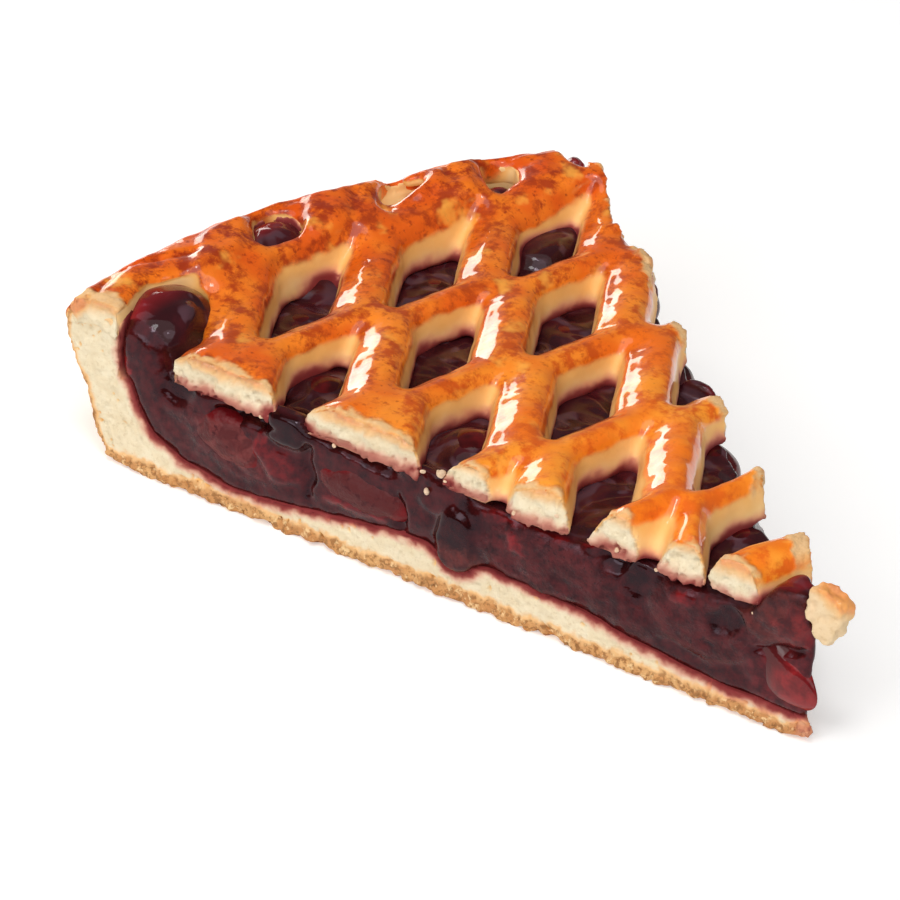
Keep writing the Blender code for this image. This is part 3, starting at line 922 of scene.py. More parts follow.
# %% Turn, raise and cut the gel
GEL_SECTION = [(126.0, 8.0), (131.0, 14.0), (133.0, GEL_TOP)]                                    # wall
GEL_SECTION += [(r, GEL_TOP) for r in (130.0, 110.0, 90.0, 70.0, 50.0, 30.0, 12.0, 3.6)]         # top
GEL_SECTION += [(3.0, 17.6), (6.8, 16.0), (6.6, 13.8), (3.2, 9.5), (1.6, 6.0), (1.4, 4.0)]       # tip
GEL_SECTION += [(20.0, 3.0), (60.0, 4.5), (118.0, 3.0)]                                          # floor
GEL_INSET = (0.9, 0.9)
ROUGH_VOXEL = 0.0008          # while the shape is still pushed about
CUT_VOXEL = 0.0007
FINE_VOXEL = 0.0005
# x, y, z and half sizes
DROPS = ((-103.2, 94.5, 27.2, 2.0, 1.7, 2.6), (-102.6, 92.6, 25.2, 1.6, 1.6, 2.4),
         (-75.2, 73.4, 20.7, 2.6, 1.7, 2.9), (-52.0, 50.9, 20.2, 3.4, 1.3, 2.3),
         (-66.6, 1.2, 11.4, 4.2, 1.7, 6.0))


def drop(x, y, z, wide, deep, high):
    return ball("drop", at(x, y, z), (wide * MM, deep * MM, high * MM), 24, 16)


def fill_to_wall(points, r, phi):
    """Stretch the gel outwards until it meets the wall's inside."""
    outwards = points[:, :2] / np.maximum(r, 1.0)[:, None]
    wall_r, wall_z = zip(*WALL_INSIDE[::-1])
    reach = np.interp(points[:, 2], wall_z, wall_r) + wall_give(phi) + 0.5
    start = np.interp(points[:, 2], (8.0, 14.0, GEL_TOP), (126.0, 131.0, 133.0))
    stretch = np.maximum(r - 112.0, 0.0) * (reach - start) / (start - 112.0)
    points[:, :2] += stretch[:, None] * outwards


def shape_gel(gel):
    points, normals, r, phi = survey(gel)
    fill_to_wall(points, r, phi)
    on_floor = (normals[:, 2] < -0.4) & (r < 124.0)
    points[:, 2] = np.where(on_floor, floor_top(r, phi) - 0.5, points[:, 2])
    up = (normals[:, 2] > 0.4) & (points[:, 2] > 17.5) & (r > 3.0)
    points[:, 2] = np.where(up, gel_top(points), points[:, 2])
    tip_hump = 6.6 * np.exp(-((r - 8.0) / 5.0) ** 4) + 0.5 * lumps(points, 3.0, 72) * step(18.0, 12.0, r)
    points[:, 2] += tip_hump * up
    at_cut = step(7.0, 1.0, points[:, 1]) * up
    for x, wide, rise in SWELLS:
        points[:, 2] += rise * at_cut * step(wide + 1.5, wide - 2.5, np.abs(points[:, 0] - x))
    move_points(gel, points)


gel = sector("gel", GEL_SECTION)
remesh(gel, ROUGH_VOXEL)
shape_gel(gel)
remesh(gel, ROUGH_VOXEL)
cut_slice(gel, *GEL_INSET)
rim_end(gel, 0.35)
remesh(gel, CUT_VOXEL)
soften(gel, 4)
join_into(gel, *[drop(*place) for place in DROPS])
remesh(gel, FINE_VOXEL)
print("gel:", count_triangles(gel), "triangles")

# %% [markdown]
# ## The near cut
# The knife went through cherries, gel and pulp, so the near cut is a patchwork. A texture picture could
# show that, but an oval for each patch keeps it part of the shape: it has a place on the cut, a colour, a
# dullness, and how far it stands out. A little noise bends all the ovals, so that none looks drawn.

# %% The patches of the near cut
# The darkest colour is near-black gel. Where its patches are set back under the strips' ends, it is painted
# shade as well.
DEEP_GEL_AND_SHADE, WINE, MAUVE, PALE, RED, BROWN = ((0.022, 0.0020, 0.002), (0.060, 0.005, 0.005), (0.082, 0.010, 0.010),
                                       (0.140, 0.024, 0.022), (0.260, 0.009, 0.010), (0.110, 0.018, 0.013))
# x, z, half sizes, lean in degrees, how far it stands out, how dull it is, colour, strength of the colour
PATCHES = (
    (-129.0, 17.5, 3.6, 7.0, 22.0, 0.3, 0.1, WINE, 0.9),
    (-132.6, 18.0, 1.0, 5.5, 20.0, 0.0, 0.3, RED, 0.7),
    (-122.0, 19.5, 3.5, 3.5, 0.0, -0.8, 0.0, DEEP_GEL_AND_SHADE, 0.9),
    (-120.0, 9.5, 7.5, 1.5, -28.0, 0.0, 0.4, MAUVE, 0.8),
    (-111.5, 12.2, 11.5, 4.6, -17.0, 0.3, 0.5, MAUVE, 0.9),
    (-111.0, 11.9, 8.4, 1.7, -29.0, 0.3, 0.5, PALE, 0.9),
    (-101.3, 12.2, 4.4, 3.0, -20.0, 0.5, 0.0, RED, 0.35),
    (-105.0, 15.0, 1.2, 3.4, -20.0, 0.2, 0.0, RED, 0.6),
    (-108.5, 18.7, 6.5, 1.6, 8.0, -1.6, 0.0, DEEP_GEL_AND_SHADE, 1.0),
    (-99.4, 19.9, 5.2, 3.6, 12.0, 1.5, 0.0, DEEP_GEL_AND_SHADE, 1.0),
    (-95.6, 13.5, 1.0, 5.5, 4.0, -0.9, 0.0, DEEP_GEL_AND_SHADE, 0.8),
    (-86.8, 14.2, 9.0, 5.4, -8.0, 0.2, 0.1, MAUVE, 0.8),
    (-86.4, 15.4, 6.6, 2.7, -4.0, 0.0, 0.0, WINE, 0.9),
    (-86.0, 10.3, 7.0, 1.0, 3.0, 0.3, 0.0, RED, 0.45),
    (-87.4, 20.2, 9.0, 1.2, -10.0, -1.3, 0.3, WINE, 0.9),
    (-75.0, 14.5, 3.4, 4.5, 0.0, 0.2, 0.2, WINE, 0.8),
    (-77.4, 12.0, 1.0, 4.5, 12.0, -0.7, 0.0, DEEP_GEL_AND_SHADE, 0.7),
    (-71.0, 17.5, 3.0, 3.0, 0.0, 0.4, 0.1, WINE, 0.9),
    (-66.2, 12.0, 4.8, 6.8, -4.0, 0.6, 0.0, DEEP_GEL_AND_SHADE, 0.85),
    (-66.0, 8.6, 3.6, 2.8, -12.0, 0.2, 0.5, BROWN, 0.9),
    (-66.4, 5.9, 4.6, 0.5, -8.0, 0.0, 0.2, RED, 0.6),
    (-50.5, 13.2, 12.5, 5.6, 1.0, 0.9, 0.9, MAUVE, 0.95),
    (-55.6, 15.0, 2.2, 1.0, -40.0, 0.2, 0.3, RED, 0.6),
    (-45.0, 11.5, 4.0, 1.6, -20.0, -0.3, 0.7, WINE, 0.7),
    (-51.0, 19.3, 10.5, 0.6, 5.0, 0.0, 0.0, RED, 0.55),
    (-51.0, 21.0, 10.0, 1.0, 4.0, -1.8, 0.0, DEEP_GEL_AND_SHADE, 1.0),
    (-38.4, 19.6, 2.8, 2.6, 20.0, -1.5, 0.0, DEEP_GEL_AND_SHADE, 1.0),
    (-33.2, 17.6, 4.6, 3.4, 10.0, -0.6, 0.0, DEEP_GEL_AND_SHADE, 0.9),
    (-35.0, 10.0, 7.0, 3.0, -6.0, 0.4, 0.7, WINE, 0.7),
    (-21.5, 14.6, 10.0, 6.6, 2.0, 0.9, 0.8, MAUVE, 0.75),
    (-17.6, 16.6, 3.4, 2.6, 20.0, -0.9, 0.3, DEEP_GEL_AND_SHADE, 0.85),
    (-25.5, 17.5, 2.4, 1.1, 10.0, 0.2, 0.3, RED, 0.5),
    (-20.5, 11.2, 1.2, 0.7, 0.0, -0.4, 0.3, DEEP_GEL_AND_SHADE, 0.9),
    (-10.0, 21.5, 6.5, 5.4, 20.0, 0.9, 0.6, BROWN, 0.7),
    (-6.0, 19.5, 3.5, 4.5, 10.0, 0.2, 0.4, RED, 0.35),
    (-8.2, 14.6, 4.6, 0.8, 20.0, -1.0, 0.0, DEEP_GEL_AND_SHADE, 1.0),
    (-7.0, 9.6, 7.0, 6.2, 0.0, 0.3, 0.1, (0.11, 0.009, 0.010), 0.9),
)


def oval(points, x, z, wide, high, lean):
    """1 inside an oval on the near cut and 0 outside it, and a dome of height 1 over it."""
    turn = math.radians(lean)
    u = (points[:, 0] - x) * math.cos(turn) + (points[:, 2] - z) * math.sin(turn)
    v = (points[:, 2] - z) * math.cos(turn) - (points[:, 0] - x) * math.sin(turn)
    away = np.hypot(u / wide, v / high)
    return step(1.18, 0.80, away), np.clip(1.0 - away ** 2, 0.0, 1.0) ** 0.6


print(len(PATCHES), "patches on the near cut")

# %% [markdown]
# The patches are laid over each other in order, as paint is. The far cut gets the same ones, with the
# distance from the tip in the place of x. The colours go to the mesh as a colour attribute.

# %% Colour and relief of the near cut
PLAIN_DULLNESS = 0.25
NEAR_REACH = 3.4              # how far behind the near cut a point still belongs to it


def lay_patches(points):
    """What the patches add up to at each point: how far it stands out, its dullness and its colour."""
    r, phi = polar_of(points)
    bend = np.stack([uneven(points, (1.0, 3.4, 76), (0.5, 1.3, 77)), np.zeros(len(points)),
                     uneven(points, (1.0, 3.4, 78), (0.5, 1.3, 79))], axis=1)
    flat = points.copy()
    flat[:, 0] = np.where(points[:, 1] < NEAR_REACH, points[:, 0], 9.0 - r)
    stand = np.zeros(len(points))
    dull = np.full(len(points), PLAIN_DULLNESS)
    colour = np.tile(np.array(WINE), (len(points), 1))
    for x, z, wide, high, lean, out, matt, paint, strength in PATCHES:
        share = oval(flat + 1.5 * bend, x, z, wide, high, lean)[0]
        even, dome = oval(flat + 0.7 * bend, x, z, wide, high, lean)
        stand += out * (0.5 * even + 0.7 * dome)
        dull += (matt - dull) * share
        colour += (np.array(paint) - colour) * (share * strength)[:, None]
    return stand, dull, colour


def shape_patches(item, cut, stand, dull):
    """Dull patches are rough, wet ones smooth, and the far cut is rough all over."""
    points = points_of(item)
    near = cut * step(NEAR_REACH, NEAR_REACH - 1.0, points[:, 1])
    depth = uneven(points, (0.30, 3.2, 73), (0.14, 1.4, 74), (0.07, 0.7, 75))
    points[:, 1] -= near * np.clip(stand, -2.0, 1.6)
    points = pushed(item, points, (near * (0.4 + dull) + (cut - near) * 1.3) * depth)
    points[:, 1] = np.maximum(points[:, 1], -0.6)
    move_points(item, points)
    soften(item, 2)


gel_cut = cut_mask(gel, 3.0)
stand, gel_dull, colour = lay_patches(points_of(gel))
shape_patches(gel, gel_cut, stand, gel_dull)
layer = gel.data.attributes.new("paint", "FLOAT_COLOR", "POINT")
colour = np.concatenate([colour, np.ones((len(colour), 1))], axis=1)
layer.data.foreach_set("color", np.ascontiguousarray(colour, np.float32).ravel())
print("the knife's faces take up", round(float(gel_cut.mean()) * 100), "% of the gel's points")

# %% [markdown]
# Where gel lies thin over a cherry's shoulder, light comes back red from the fruit under it. That is a
# measure too: high places that face the rim, some of the far side, and one berry that stands free.

# %% Thin jam over the fruit
BERRY = (-103.0, 93.5)


def thin_jam(item, cut):
    points, normals = points_of(item), normals_of(item)
    high = step(GEL_TOP + 2.0, GEL_TOP + 7.5, points[:, 2] + 0.8 * lumps(points, 3.0, 79))
    far_side = step(0.6, -0.6, inside_cut(points)) * step(30.0, 50.0, points[:, 1])
    from_berry = np.hypot(points[:, 0] - BERRY[0], points[:, 1] - BERRY[1])
    berry = step(4.6, 2.6, from_berry) * step(22.5, 24.0, points[:, 2])
    shoulder = high * step(-0.25, 0.20, facing_out(points, normals)) * (1.0 - cut)
    return np.max([shoulder, 0.35 * far_side, berry], axis=0)


keep(gel, thin=thin_jam(gel, gel_cut), cut=gel_cut, matt=gel_dull * gel_cut)
print("thin, cut and matt kept on the gel")

# %% [markdown]
# Three cherries were halved by the knife. A half sphere with a flat face would look machined, so each is a
# flat ball, leaned a little, that stands just proud of the gel, with its own noise. Its rim is skin and
# its middle flesh, so the distance from its middle is kept, and how pale its flesh is.

# %% Halved cherries in the near cut
HALF_DEPTH = 0.0030           # half a flat ball's depth, in metres
LEANS = (-14.0, -6.0, 0.0)
PALENESS = (1.0, 0.3, 0.0)


def make_cut_cherry(name, low, high, number):
    middle = Vector(((low.x + high.x) / 2.0, (TIP[1] + 2.6) * MM, (low.z + high.z) / 2.0))
    half = ((high.x - low.x) / 2.0 * 1.12, HALF_DEPTH, (high.z - low.z) / 2.0 * 1.08)
    cherry = ball(name + "_flesh", middle, half, 72, 48, LEANS[number])
    points = points_of(cherry)
    points = pushed(cherry, points, uneven(points, (0.45, 4.0, 80 + number), (0.25, 1.7, 90 + number)))
    points[:, 1] = np.maximum(points[:, 1], -0.7)
    move_points(cherry, points)
    away = points - points.mean(axis=0)
    reach = np.abs(away).max(axis=0)
    rim = np.hypot(away[:, 0] / reach[0], away[:, 2] / reach[2])
    keep(cherry, rim=rim + 0.15 * lumps(points, 3.0, 95), pale=PALENESS[number])
    return cherry


cut_cherries = {}
for number, (name, low, high) in enumerate(boxes_of("cut_cherry")):
    cut_cherries[name] = make_cut_cherry(name, low, high, number)
print(len(cut_cherries), "halved cherries")

# %% [markdown]
# The knife also left crumbs where it drew through the strips. They are small dented balls, each at the
# place where it stuck to the gel.

# %% Crumbs on the near cut
# x, z and size
CRUMBS = ((-70.1, 23.0, 0.95), (-72.5, 18.6, 0.75), (-73.4, 22.0, 0.5), (-69.2, 21.8, 0.4),
          (-56.3, 21.0, 0.55), (-53.5, 20.9, 0.45), (-48.6, 23.6, 0.6), (-104.6, 20.6, 0.35),
          (-37.6, 21.6, 0.5), (-30.6, 20.6, 0.4), (-13.4, 19.9, 0.45), (-90.4, 20.4, 0.4))

made = [drop(x, 0.25, z, size * 0.85, size * 0.7, size * 0.7) for x, z, size in CRUMBS]
crumbs = made[0]
crumbs.name = crumbs.data.name = "crumbs"
join_into(crumbs, *made[1:])
points = points_of(crumbs)
move_points(crumbs, pushed(crumbs, points, uneven(points, (0.4, 0.9, 120))))
keep(crumbs, cut=1.0, bake=0.1, stain=0.3)
print(len(CRUMBS), "crumbs")

# %% [markdown]
# ## Colour that follows the baking
# Dough browns from outside in, and juice stains it where they touch. Both are distances, so they are
# measured on the finished meshes. A search tree of the gel's faces finds how far the juice is away.

# %% How far the juice is
places = [vert.co.copy() for vert in gel.data.vertices]
fruit_tree = BVHTree.FromPolygons(places, [tuple(face.vertices) for face in gel.data.polygons])


def juice_away(item, most=6.0):
    """How far each point is from the gel, up to most millimetres."""
    away = np.full(len(item.data.vertices), most)
    for i, vert in enumerate(item.data.vertices):
        found = fruit_tree.find_nearest(vert.co, most * MM)
        if found[0] is not None:
            away[i] = found[3] / MM
    return away


print("search tree of", len(gel.data.polygons), "gel faces")

# %% [markdown]
# On the lattice the glaze browned most on top and on the rim's outside, while the flanks that face the tip
# were shaded and stayed pale, and the cuts show crumb. The glaze is worn thin on the rim, and gone where
# the edge tore. Towards the rim the oven was hotter, which the tan measure says.

# %% Bake, stain and gloss of the lattice
def lattice_bake(points, normals, r, phi, cut, torn):
    depth = sheet_top(r, phi) - points[:, 2]
    depth = depth + 0.5 * lumps(points, 4.0, 101) + 0.25 * lumps(points, 1.3, 102)
    upright = step(0.55, 0.25, normals[:, 2]) * (1.0 - cut)
    shaded = upright * step(131.0, 134.0, r) * step(0.2, -0.2, facing_out(points, normals))
    flank = step(3.9, 1.4, depth) * step(-0.2, 0.45, normals[:, 2] + 0.15 * lumps(points, 3.0, 114))
    flank = np.maximum(flank, 0.48 * step(7.0, 2.2, depth + 0.8 * lumps(points, 5.0, 115)))
    bake = flank * (1.0 - 0.75 * shaded) * (1.0 - cut) + cut * (step(3.4, 0.3, depth) * 0.7)
    rim_side = step(139.0, 142.0, r)
    outer = rim_side * step(23.2, 27.6, points[:, 2] + 0.9 * lumps(points, 5.0, 117))
    bake = np.maximum(bake, (0.3 * rim_side + 0.7 * outer) * (1.0 - cut)) * (1.0 - 0.55 * torn)
    far_end = step(0.4, -0.6, inside_cut(points)) * step(60.0, 70.0, points[:, 1])
    return bake * (1.0 - 0.55 * far_end)


def lattice_stain(item, points, normals, r, cut):
    juice = juice_away(item) + 0.8 * lumps(points, 3.0, 103) + 0.3 * lumps(points, 1.0, 104)
    juice += 1.6 * step(127.0, 131.0, r)
    reached = np.maximum(step(25.5, 22.0, points[:, 2]),
                         step(128.0, 131.0, r) * step(27.2, 25.6, points[:, 2]))
    reached *= 1.0 - 0.95 * step(0.3, 0.7, normals[:, 2])
    under = 0.7 * cut * step(23.6, 21.0, points[:, 2] + 0.8 * lumps(points, 2.0, 111))
    under = under * step(130.0, 127.0, r)
    return np.maximum(step(4.0, -0.4, juice + 0.8 * lumps(points, 6.0, 116)) * reached, under)


def mark_lattice(item, cut, torn):
    points, normals, r, phi = survey(item)
    worn = 1.0 - 0.5 * step(133.0, 139.0, r) - 0.4 * step(141.4, 143.2, r)
    keep(item, bake=lattice_bake(points, normals, r, phi, cut, torn),
         stain=lattice_stain(item, points, normals, r, cut), gloss=worn * (1.0 - torn),
         cut=np.maximum(cut, torn), tan=0.75 * step(25.0, 125.0, r) + 0.35 * step(126.0, 140.0, r))


mark_lattice(lattice, lattice_cut, lattice_torn)
mark_lattice(strip, strip_cut, strip_torn)
points = points_of(scrap)
top_right = 0.6 * points[:, 0] + points[:, 2] + 0.8 * lumps(points, 1.6, 112)
keep(scrap, bake=0.22 + 0.50 * step(24.8, 27.6, top_right),
     stain=0.12 * step(-1.6, -3.4, points[:, 0]) + 0.15 * step(21.0, 19.0, points[:, 2]),
     cut=0.9, tan=0.0, gloss=0.5)
print("lattice, strip and scrap are baked and stained")

# %% [markdown]
# The base browned against the tin: its bottom and its outer skin are dark, with a pale crumb between, and
# the juice soaked into the floor from above and into the thin dough at the tip.

# %% Bake and stain of the base
def mark_shell(item, cut):
    points, normals, r, phi = survey(item)
    rough = uneven(points, (0.9, 2.6, 105), (0.6, 0.9, 106))
    bottom = step(3.8, 2.2, points[:, 2] + rough)
    wall_r, wall_z = zip(*WALL_OUTSIDE)
    out_r = np.interp(points[:, 2], wall_z, wall_r)
    skin = step(1.8, 0.4, out_r - r + 0.4 * rough)
    facing = facing_out(points, normals)
    outside = np.maximum(0.75 * step(4.0, 2.0, out_r - r) * step(-0.3, 0.2, facing), bottom)
    outside *= 1.0 - 0.5 * step(14.0, 24.0, points[:, 2] + 2.0 * rough)
    bake = np.maximum(bottom, skin) * cut * 0.8 + (1.0 - cut) * outside
    bake = np.maximum(bake, step(24.0, 28.5, points[:, 2] + 0.5 * rough) * cut * 0.45)
    juice = juice_away(item) + 0.5 * lumps(points, 2.2, 107) + 0.3 * lumps(points, 0.8, 108)
    at_tip = 0.5 * step(6.5, 2.5, r + 0.8 * rough)
    keep(item, bake=bake, stain=np.maximum(step(2.6, 0.1, juice), at_tip), cut=cut)


mark_shell(shell, shell_cut)
print("base is baked and stained")

# %% [markdown]
# ## Materials
# A picture would stretch over such uneven pieces, so each finish is built from noise at its own scale, in
# millimetres on the piece's own coordinates, and from the measures kept on the points. A node takes a few
# lines to make, so one small class gives each kind of node a word.

# %% A few words for building materials
class Finish:
    """A node material with short words for the nodes that it needs."""

    def __init__(self, name):
        self.material = bpy.data.materials.new(name)
        self.material.use_nodes = True
        self.tree = self.material.node_tree
        self.shader = self.tree.nodes["Principled BSDF"]
        self.place = self.node("TexCoord").outputs["Object"]

    def node(self, kind, inputs=(), **settings):
        """Add a node, with its settings, and with values or links for its inputs."""
        node = self.tree.nodes.new("ShaderNode" + kind)
        for key, value in settings.items():
            setattr(node, key, value)
        for socket, value in dict(inputs).items():
            self.join(value, node.inputs[socket])
        return node

    def join(self, source, target):
        if isinstance(source, (int, float)):
            target.default_value = source
        elif isinstance(source, tuple):
            target.default_value = (*source, 1.0) if len(source) == 3 else source
        else:
            self.tree.links.new(source, target)

    def noise(self, scale_mm, detail=3.0, roughness=0.55, distortion=0.0):
        inputs = {"Vector": self.place, "Scale": 1.0 / (scale_mm * MM), "Detail": detail,
                  "Roughness": roughness, "Distortion": distortion}
        return self.node("TexNoise", inputs).outputs["Fac"]

    def attribute(self, name, output="Fac"):
        return self.node("Attribute", attribute_name=name).outputs[output]

    def span(self, value, low, high, to_low=0.0, to_high=1.0):
        inputs = {"Value": value, "From Min": low, "From Max": high, "To Min": to_low, "To Max": to_high}
        return self.node("MapRange", inputs, interpolation_type="SMOOTHSTEP").outputs["Result"]

    def math(self, operation, a, b=0.0):
        return self.node("Math", {0: a, 1: b}, operation=operation).outputs[0]

    def times(self, a, b):
        return self.math("MULTIPLY", a, b)

    def mix(self, share, a, b, blend="MIX"):
        settings = {"data_type": "RGBA", "blend_type": blend}
        return self.node("Mix", {0: share, 6: a, 7: b}, **settings).outputs[2]

    def over(self, under, paint, value, low, high, most=1.0):
        """Lay paint over the colour under it where value passes from low to high."""
        return self.mix(self.span(value, low, high, 0.0, most), under, paint)

    def grey(self, value):
        return self.node("CombineColor", {0: value, 1: value, 2: value}).outputs[0]

    def bump(self, height, distance_mm, strength=1.0, below=None):
        inputs = {"Height": height, "Distance": distance_mm * MM, "Strength": strength}
        if below is not None:
            inputs["Normal"] = below
        return self.node("Bump", inputs).outputs["Normal"]

    def set(self, **sockets):
        for key, value in sockets.items():
            self.join(value, self.shader.inputs[key.replace("_", " ")])


def give(item, material):
    item.data.materials.clear()
    item.data.materials.append(material)
    item.data.shade_smooth()


print("words for materials ready")

# %% [markdown]
# Cut dough is pale crumb with darker pores, its flanks are drier and tan, and its skin is brown. The
# lattice was brushed with egg, so its skin is orange to rust with dark specks under a clear coat, while
# the base has a matt brown skin with grains and flour.

# %% Colours of crumb and skin
def raw_dough(crust, cut):
    """Crumb where the dough is cut, and the pale dry dough of its flanks."""
    crumb = crust.mix(crust.noise(2.2, 5.0, 0.65), (0.80, 0.62, 0.36), (1.0, 0.91, 0.70))
    pore = crust.span(crust.noise(0.8, 6.0, 0.65), 0.47, 0.33)
    crumb = crust.mix(crust.times(pore, 0.40), crumb, (0.66, 0.50, 0.28))
    side = crust.mix(crust.noise(5.0, 3.0), (0.88, 0.50, 0.16), (0.92, 0.66, 0.34))
    return crust.mix(cut, side, crumb)


def glazed_skin(crust, mottle, broad):
    tan = crust.attribute("tan")
    light = crust.mix(tan, (1.0, 0.35, 0.030), (0.92, 0.19, 0.008))
    dark = crust.mix(tan, (0.95, 0.21, 0.008), (0.74, 0.088, 0.003))
    golden = crust.over(light, dark, broad, 0.35, 0.62)
    rust = crust.mix(tan, (0.82, 0.14, 0.006), (0.36, 0.030, 0.002))
    golden = crust.over(golden, rust, mottle, 0.44, 0.62)
    speck = crust.span(crust.noise(1.1, 4.0), 0.57, 0.72)
    speck = crust.times(speck, crust.span(tan, 0.0, 1.0, 0.2, 0.9))
    golden = crust.mix(speck, golden, (0.36, 0.035, 0.002))
    return crust.over(golden, (1.0, 0.42, 0.06), crust.noise(7.0, 3.0), 0.58, 0.74, 0.8)


def plain_skin(crust, mottle, broad):
    golden = crust.over((0.80, 0.45, 0.18), (0.54, 0.20, 0.05), mottle, 0.38, 0.64)
    golden = crust.over(golden, (0.58, 0.23, 0.07), broad, 0.42, 0.62)
    golden = crust.over(golden, (0.28, 0.095, 0.020), crust.noise(0.9, 5.0, 0.6), 0.48, 0.60)
    return crust.over(golden, (0.94, 0.66, 0.34), crust.noise(1.3, 4.0, 0.6), 0.55, 0.66)


print("colours of dough ready")

# %% [markdown]
# Both dough finishes share one build: raw dough, a warm edge where it starts to brown, skin, and juice over
# all. The glaze is a coat whose weight follows the browning. Its relief is grain on the cuts, fine
# roughness on the skin, and broad blisters.

# %% Dough: crumb, browned skin, glaze and juice stain
def crust_finish(name, glazed):
    crust = Finish(name)
    bake, stain, cut = (crust.attribute(key) for key in ("bake", "stain", "cut"))
    pale = raw_dough(crust, cut)
    skin = glazed_skin if glazed else plain_skin
    golden = skin(crust, crust.noise(3.6, 6.0, 0.66), crust.noise(11.0, 2.0))
    edge = crust.mix(0.6, pale, (0.92, 0.40, 0.06))
    colour = crust.over(pale, edge, bake, 0.0, 0.55)
    colour = crust.over(colour, golden, bake, 0.45, 0.95)
    juice = crust.over((0.70, 0.22, 0.16), (0.24, 0.032, 0.032), stain, 0.35, 1.0)
    crust.set(Base_Color=crust.over(colour, juice, stain, 0.02, 0.85))
    crust.set(Roughness=crust.span(bake, 0.1, 0.8, 0.75, 0.42 if glazed else 0.7))
    crust.set(Coat_Roughness=0.04, Coat_IOR=1.45, Specular_IOR_Level=0.15)
    if glazed:
        glaze = crust.times(crust.span(bake, 0.25, 0.8), crust.attribute("gloss"))
        crust.set(Coat_Weight=glaze)
    grain = crust.times(crust.noise(0.9, 7.0, 0.75), crust.span(cut, 0.0, 1.0, 0.0, 3.4))
    coarse = crust.span(bake, 0.3, 0.9, 0.0, 0.05 if glazed else 2.4)
    brown = crust.times(crust.noise(0.9, 5.0, 0.6), coarse)
    blister = crust.times(crust.noise(2.4, 2.0, 0.5), crust.span(bake, 0.2, 0.8, 0.1, 1.0))
    relief = crust.math("ADD", crust.math("ADD", grain, brown), blister)
    crust.set(Normal=crust.bump(relief, 0.4, 0.55))
    return crust.material


glazed_crust = crust_finish("glazed crust", True)
baked_dough = crust_finish("baked dough", False)
for item in (lattice, strip, scrap):
    give(item, glazed_crust)
for item in (shell, crumbs):
    give(item, baked_dough)
print("dough finishes ready")

# %% [markdown]
# Set juice is nearly black where it is deep, with a red haze, and mirrors the windows. So it is an opaque
# dark base with strong, slightly tinted gloss and a thin coat; glass would look clear like syrup. Lilac-grey
# blotches in the dark base are a painted reflection. On the near cut the patches give the colour, and dull
# pulp takes the gloss away.

# %% Gel
def gel_finish():
    wet = Finish("cherry gel")
    cut, matt = wet.attribute("cut"), wet.attribute("matt")
    painted = wet.attribute("paint", "Color")
    deep = wet.over((0.034, 0.0060, 0.0080), (0.066, 0.009, 0.012), wet.noise(6.0, 3.0, 0.5, 0.4), 0.4, 0.65)
    # lilac-grey blotches in the dark gel: a painted reflection
    deep = wet.over(deep, (0.095, 0.045, 0.058), wet.noise(6.0, 1.0, 0.5, 1.4), 0.52, 0.66, 0.75)
    tone = wet.span(wet.noise(1.8, 5.0, 0.6), 0.3, 0.7, 0.34, 1.08)
    fleck = wet.times(wet.span(wet.noise(0.8, 4.0), 0.57, 0.68), matt)
    tone = wet.times(tone, wet.span(fleck, 0.0, 1.0, 1.0, 0.45))
    patch = wet.mix(1.0, painted, wet.grey(tone), "MULTIPLY")
    thin = wet.times(wet.attribute("thin"), 0.85)
    wet.set(Base_Color=wet.mix(thin, wet.mix(cut, deep, patch), (0.250, 0.013, 0.016)))
    dull = wet.times(matt, wet.span(wet.noise(2.5, 2.0), 0.3, 0.5, 0.4, 1.0))
    wet.set(Roughness=wet.span(dull, 0.0, 1.0, 0.06, 0.55))
    ripple = wet.bump(wet.noise(7.0, 0.0, 0.5, 0.7), 3.4, wet.span(cut, 0.0, 0.4, 1.0, 0.05))
    wet.set(Normal=wet.bump(wet.noise(1.1, 5.0, 0.6), 0.3, wet.span(matt, 0.0, 1.0, 0.10, 0.9), ripple))
    wet.set(IOR=1.33, Specular_IOR_Level=0.5, Specular_Tint=(0.92, 0.76, 0.92))
    wet.set(Coat_Weight=wet.span(cut, 0.0, 0.5, 0.22, 0.0), Coat_Roughness=0.05, Coat_IOR=1.6)
    return wet.material


give(gel, gel_finish())
print("gel finish ready")

# %% [markdown]
# Three kinds of cherry show. Whole ones have dark, wet skin. Halved ones have a bright rim of skin around
# brown-red flesh. The one at the tip is thin enough to look red towards its edge.

# %% Cherries: skin, flesh, and the red one at the tip
def cherry_finish():
    skin = Finish("cherry skin")
    patch = skin.noise(5.0, 2.0)
    skin.set(Base_Color=skin.over((0.032, 0.0018, 0.0025), (0.10, 0.005, 0.006), patch, 0.4, 0.65))
    skin.set(Roughness=0.08, IOR=1.4, Normal=skin.bump(skin.noise(2.0, 3.0), 0.2, 0.25))
    return skin.material


def flesh_finish():
    flesh = Finish("cut cherry")
    rim = flesh.attribute("rim")
    light = flesh.mix(flesh.attribute("pale"), (0.060, 0.007, 0.008), (0.150, 0.030, 0.029))
    inner = flesh.over((0.085, 0.013, 0.014), light, flesh.noise(3.0, 4.0, 0.6, 0.8), 0.40, 0.62)
    inner = flesh.over(inner, (0.055, 0.006, 0.008), flesh.noise(1.1, 3.0), 0.55, 0.70)
    outer = flesh.mix(flesh.noise(4.0, 2.0), (0.200, 0.008, 0.010), (0.070, 0.004, 0.006))
    flesh.set(Base_Color=flesh.over(inner, outer, rim, 0.62, 0.86))
    flesh.set(Roughness=flesh.span(rim, 0.5, 0.9, 0.42, 0.10), IOR=1.33, Specular_IOR_Level=0.3)
    flesh.set(Normal=flesh.bump(flesh.noise(0.9, 4.0), 0.25, 0.8))
    return flesh.material


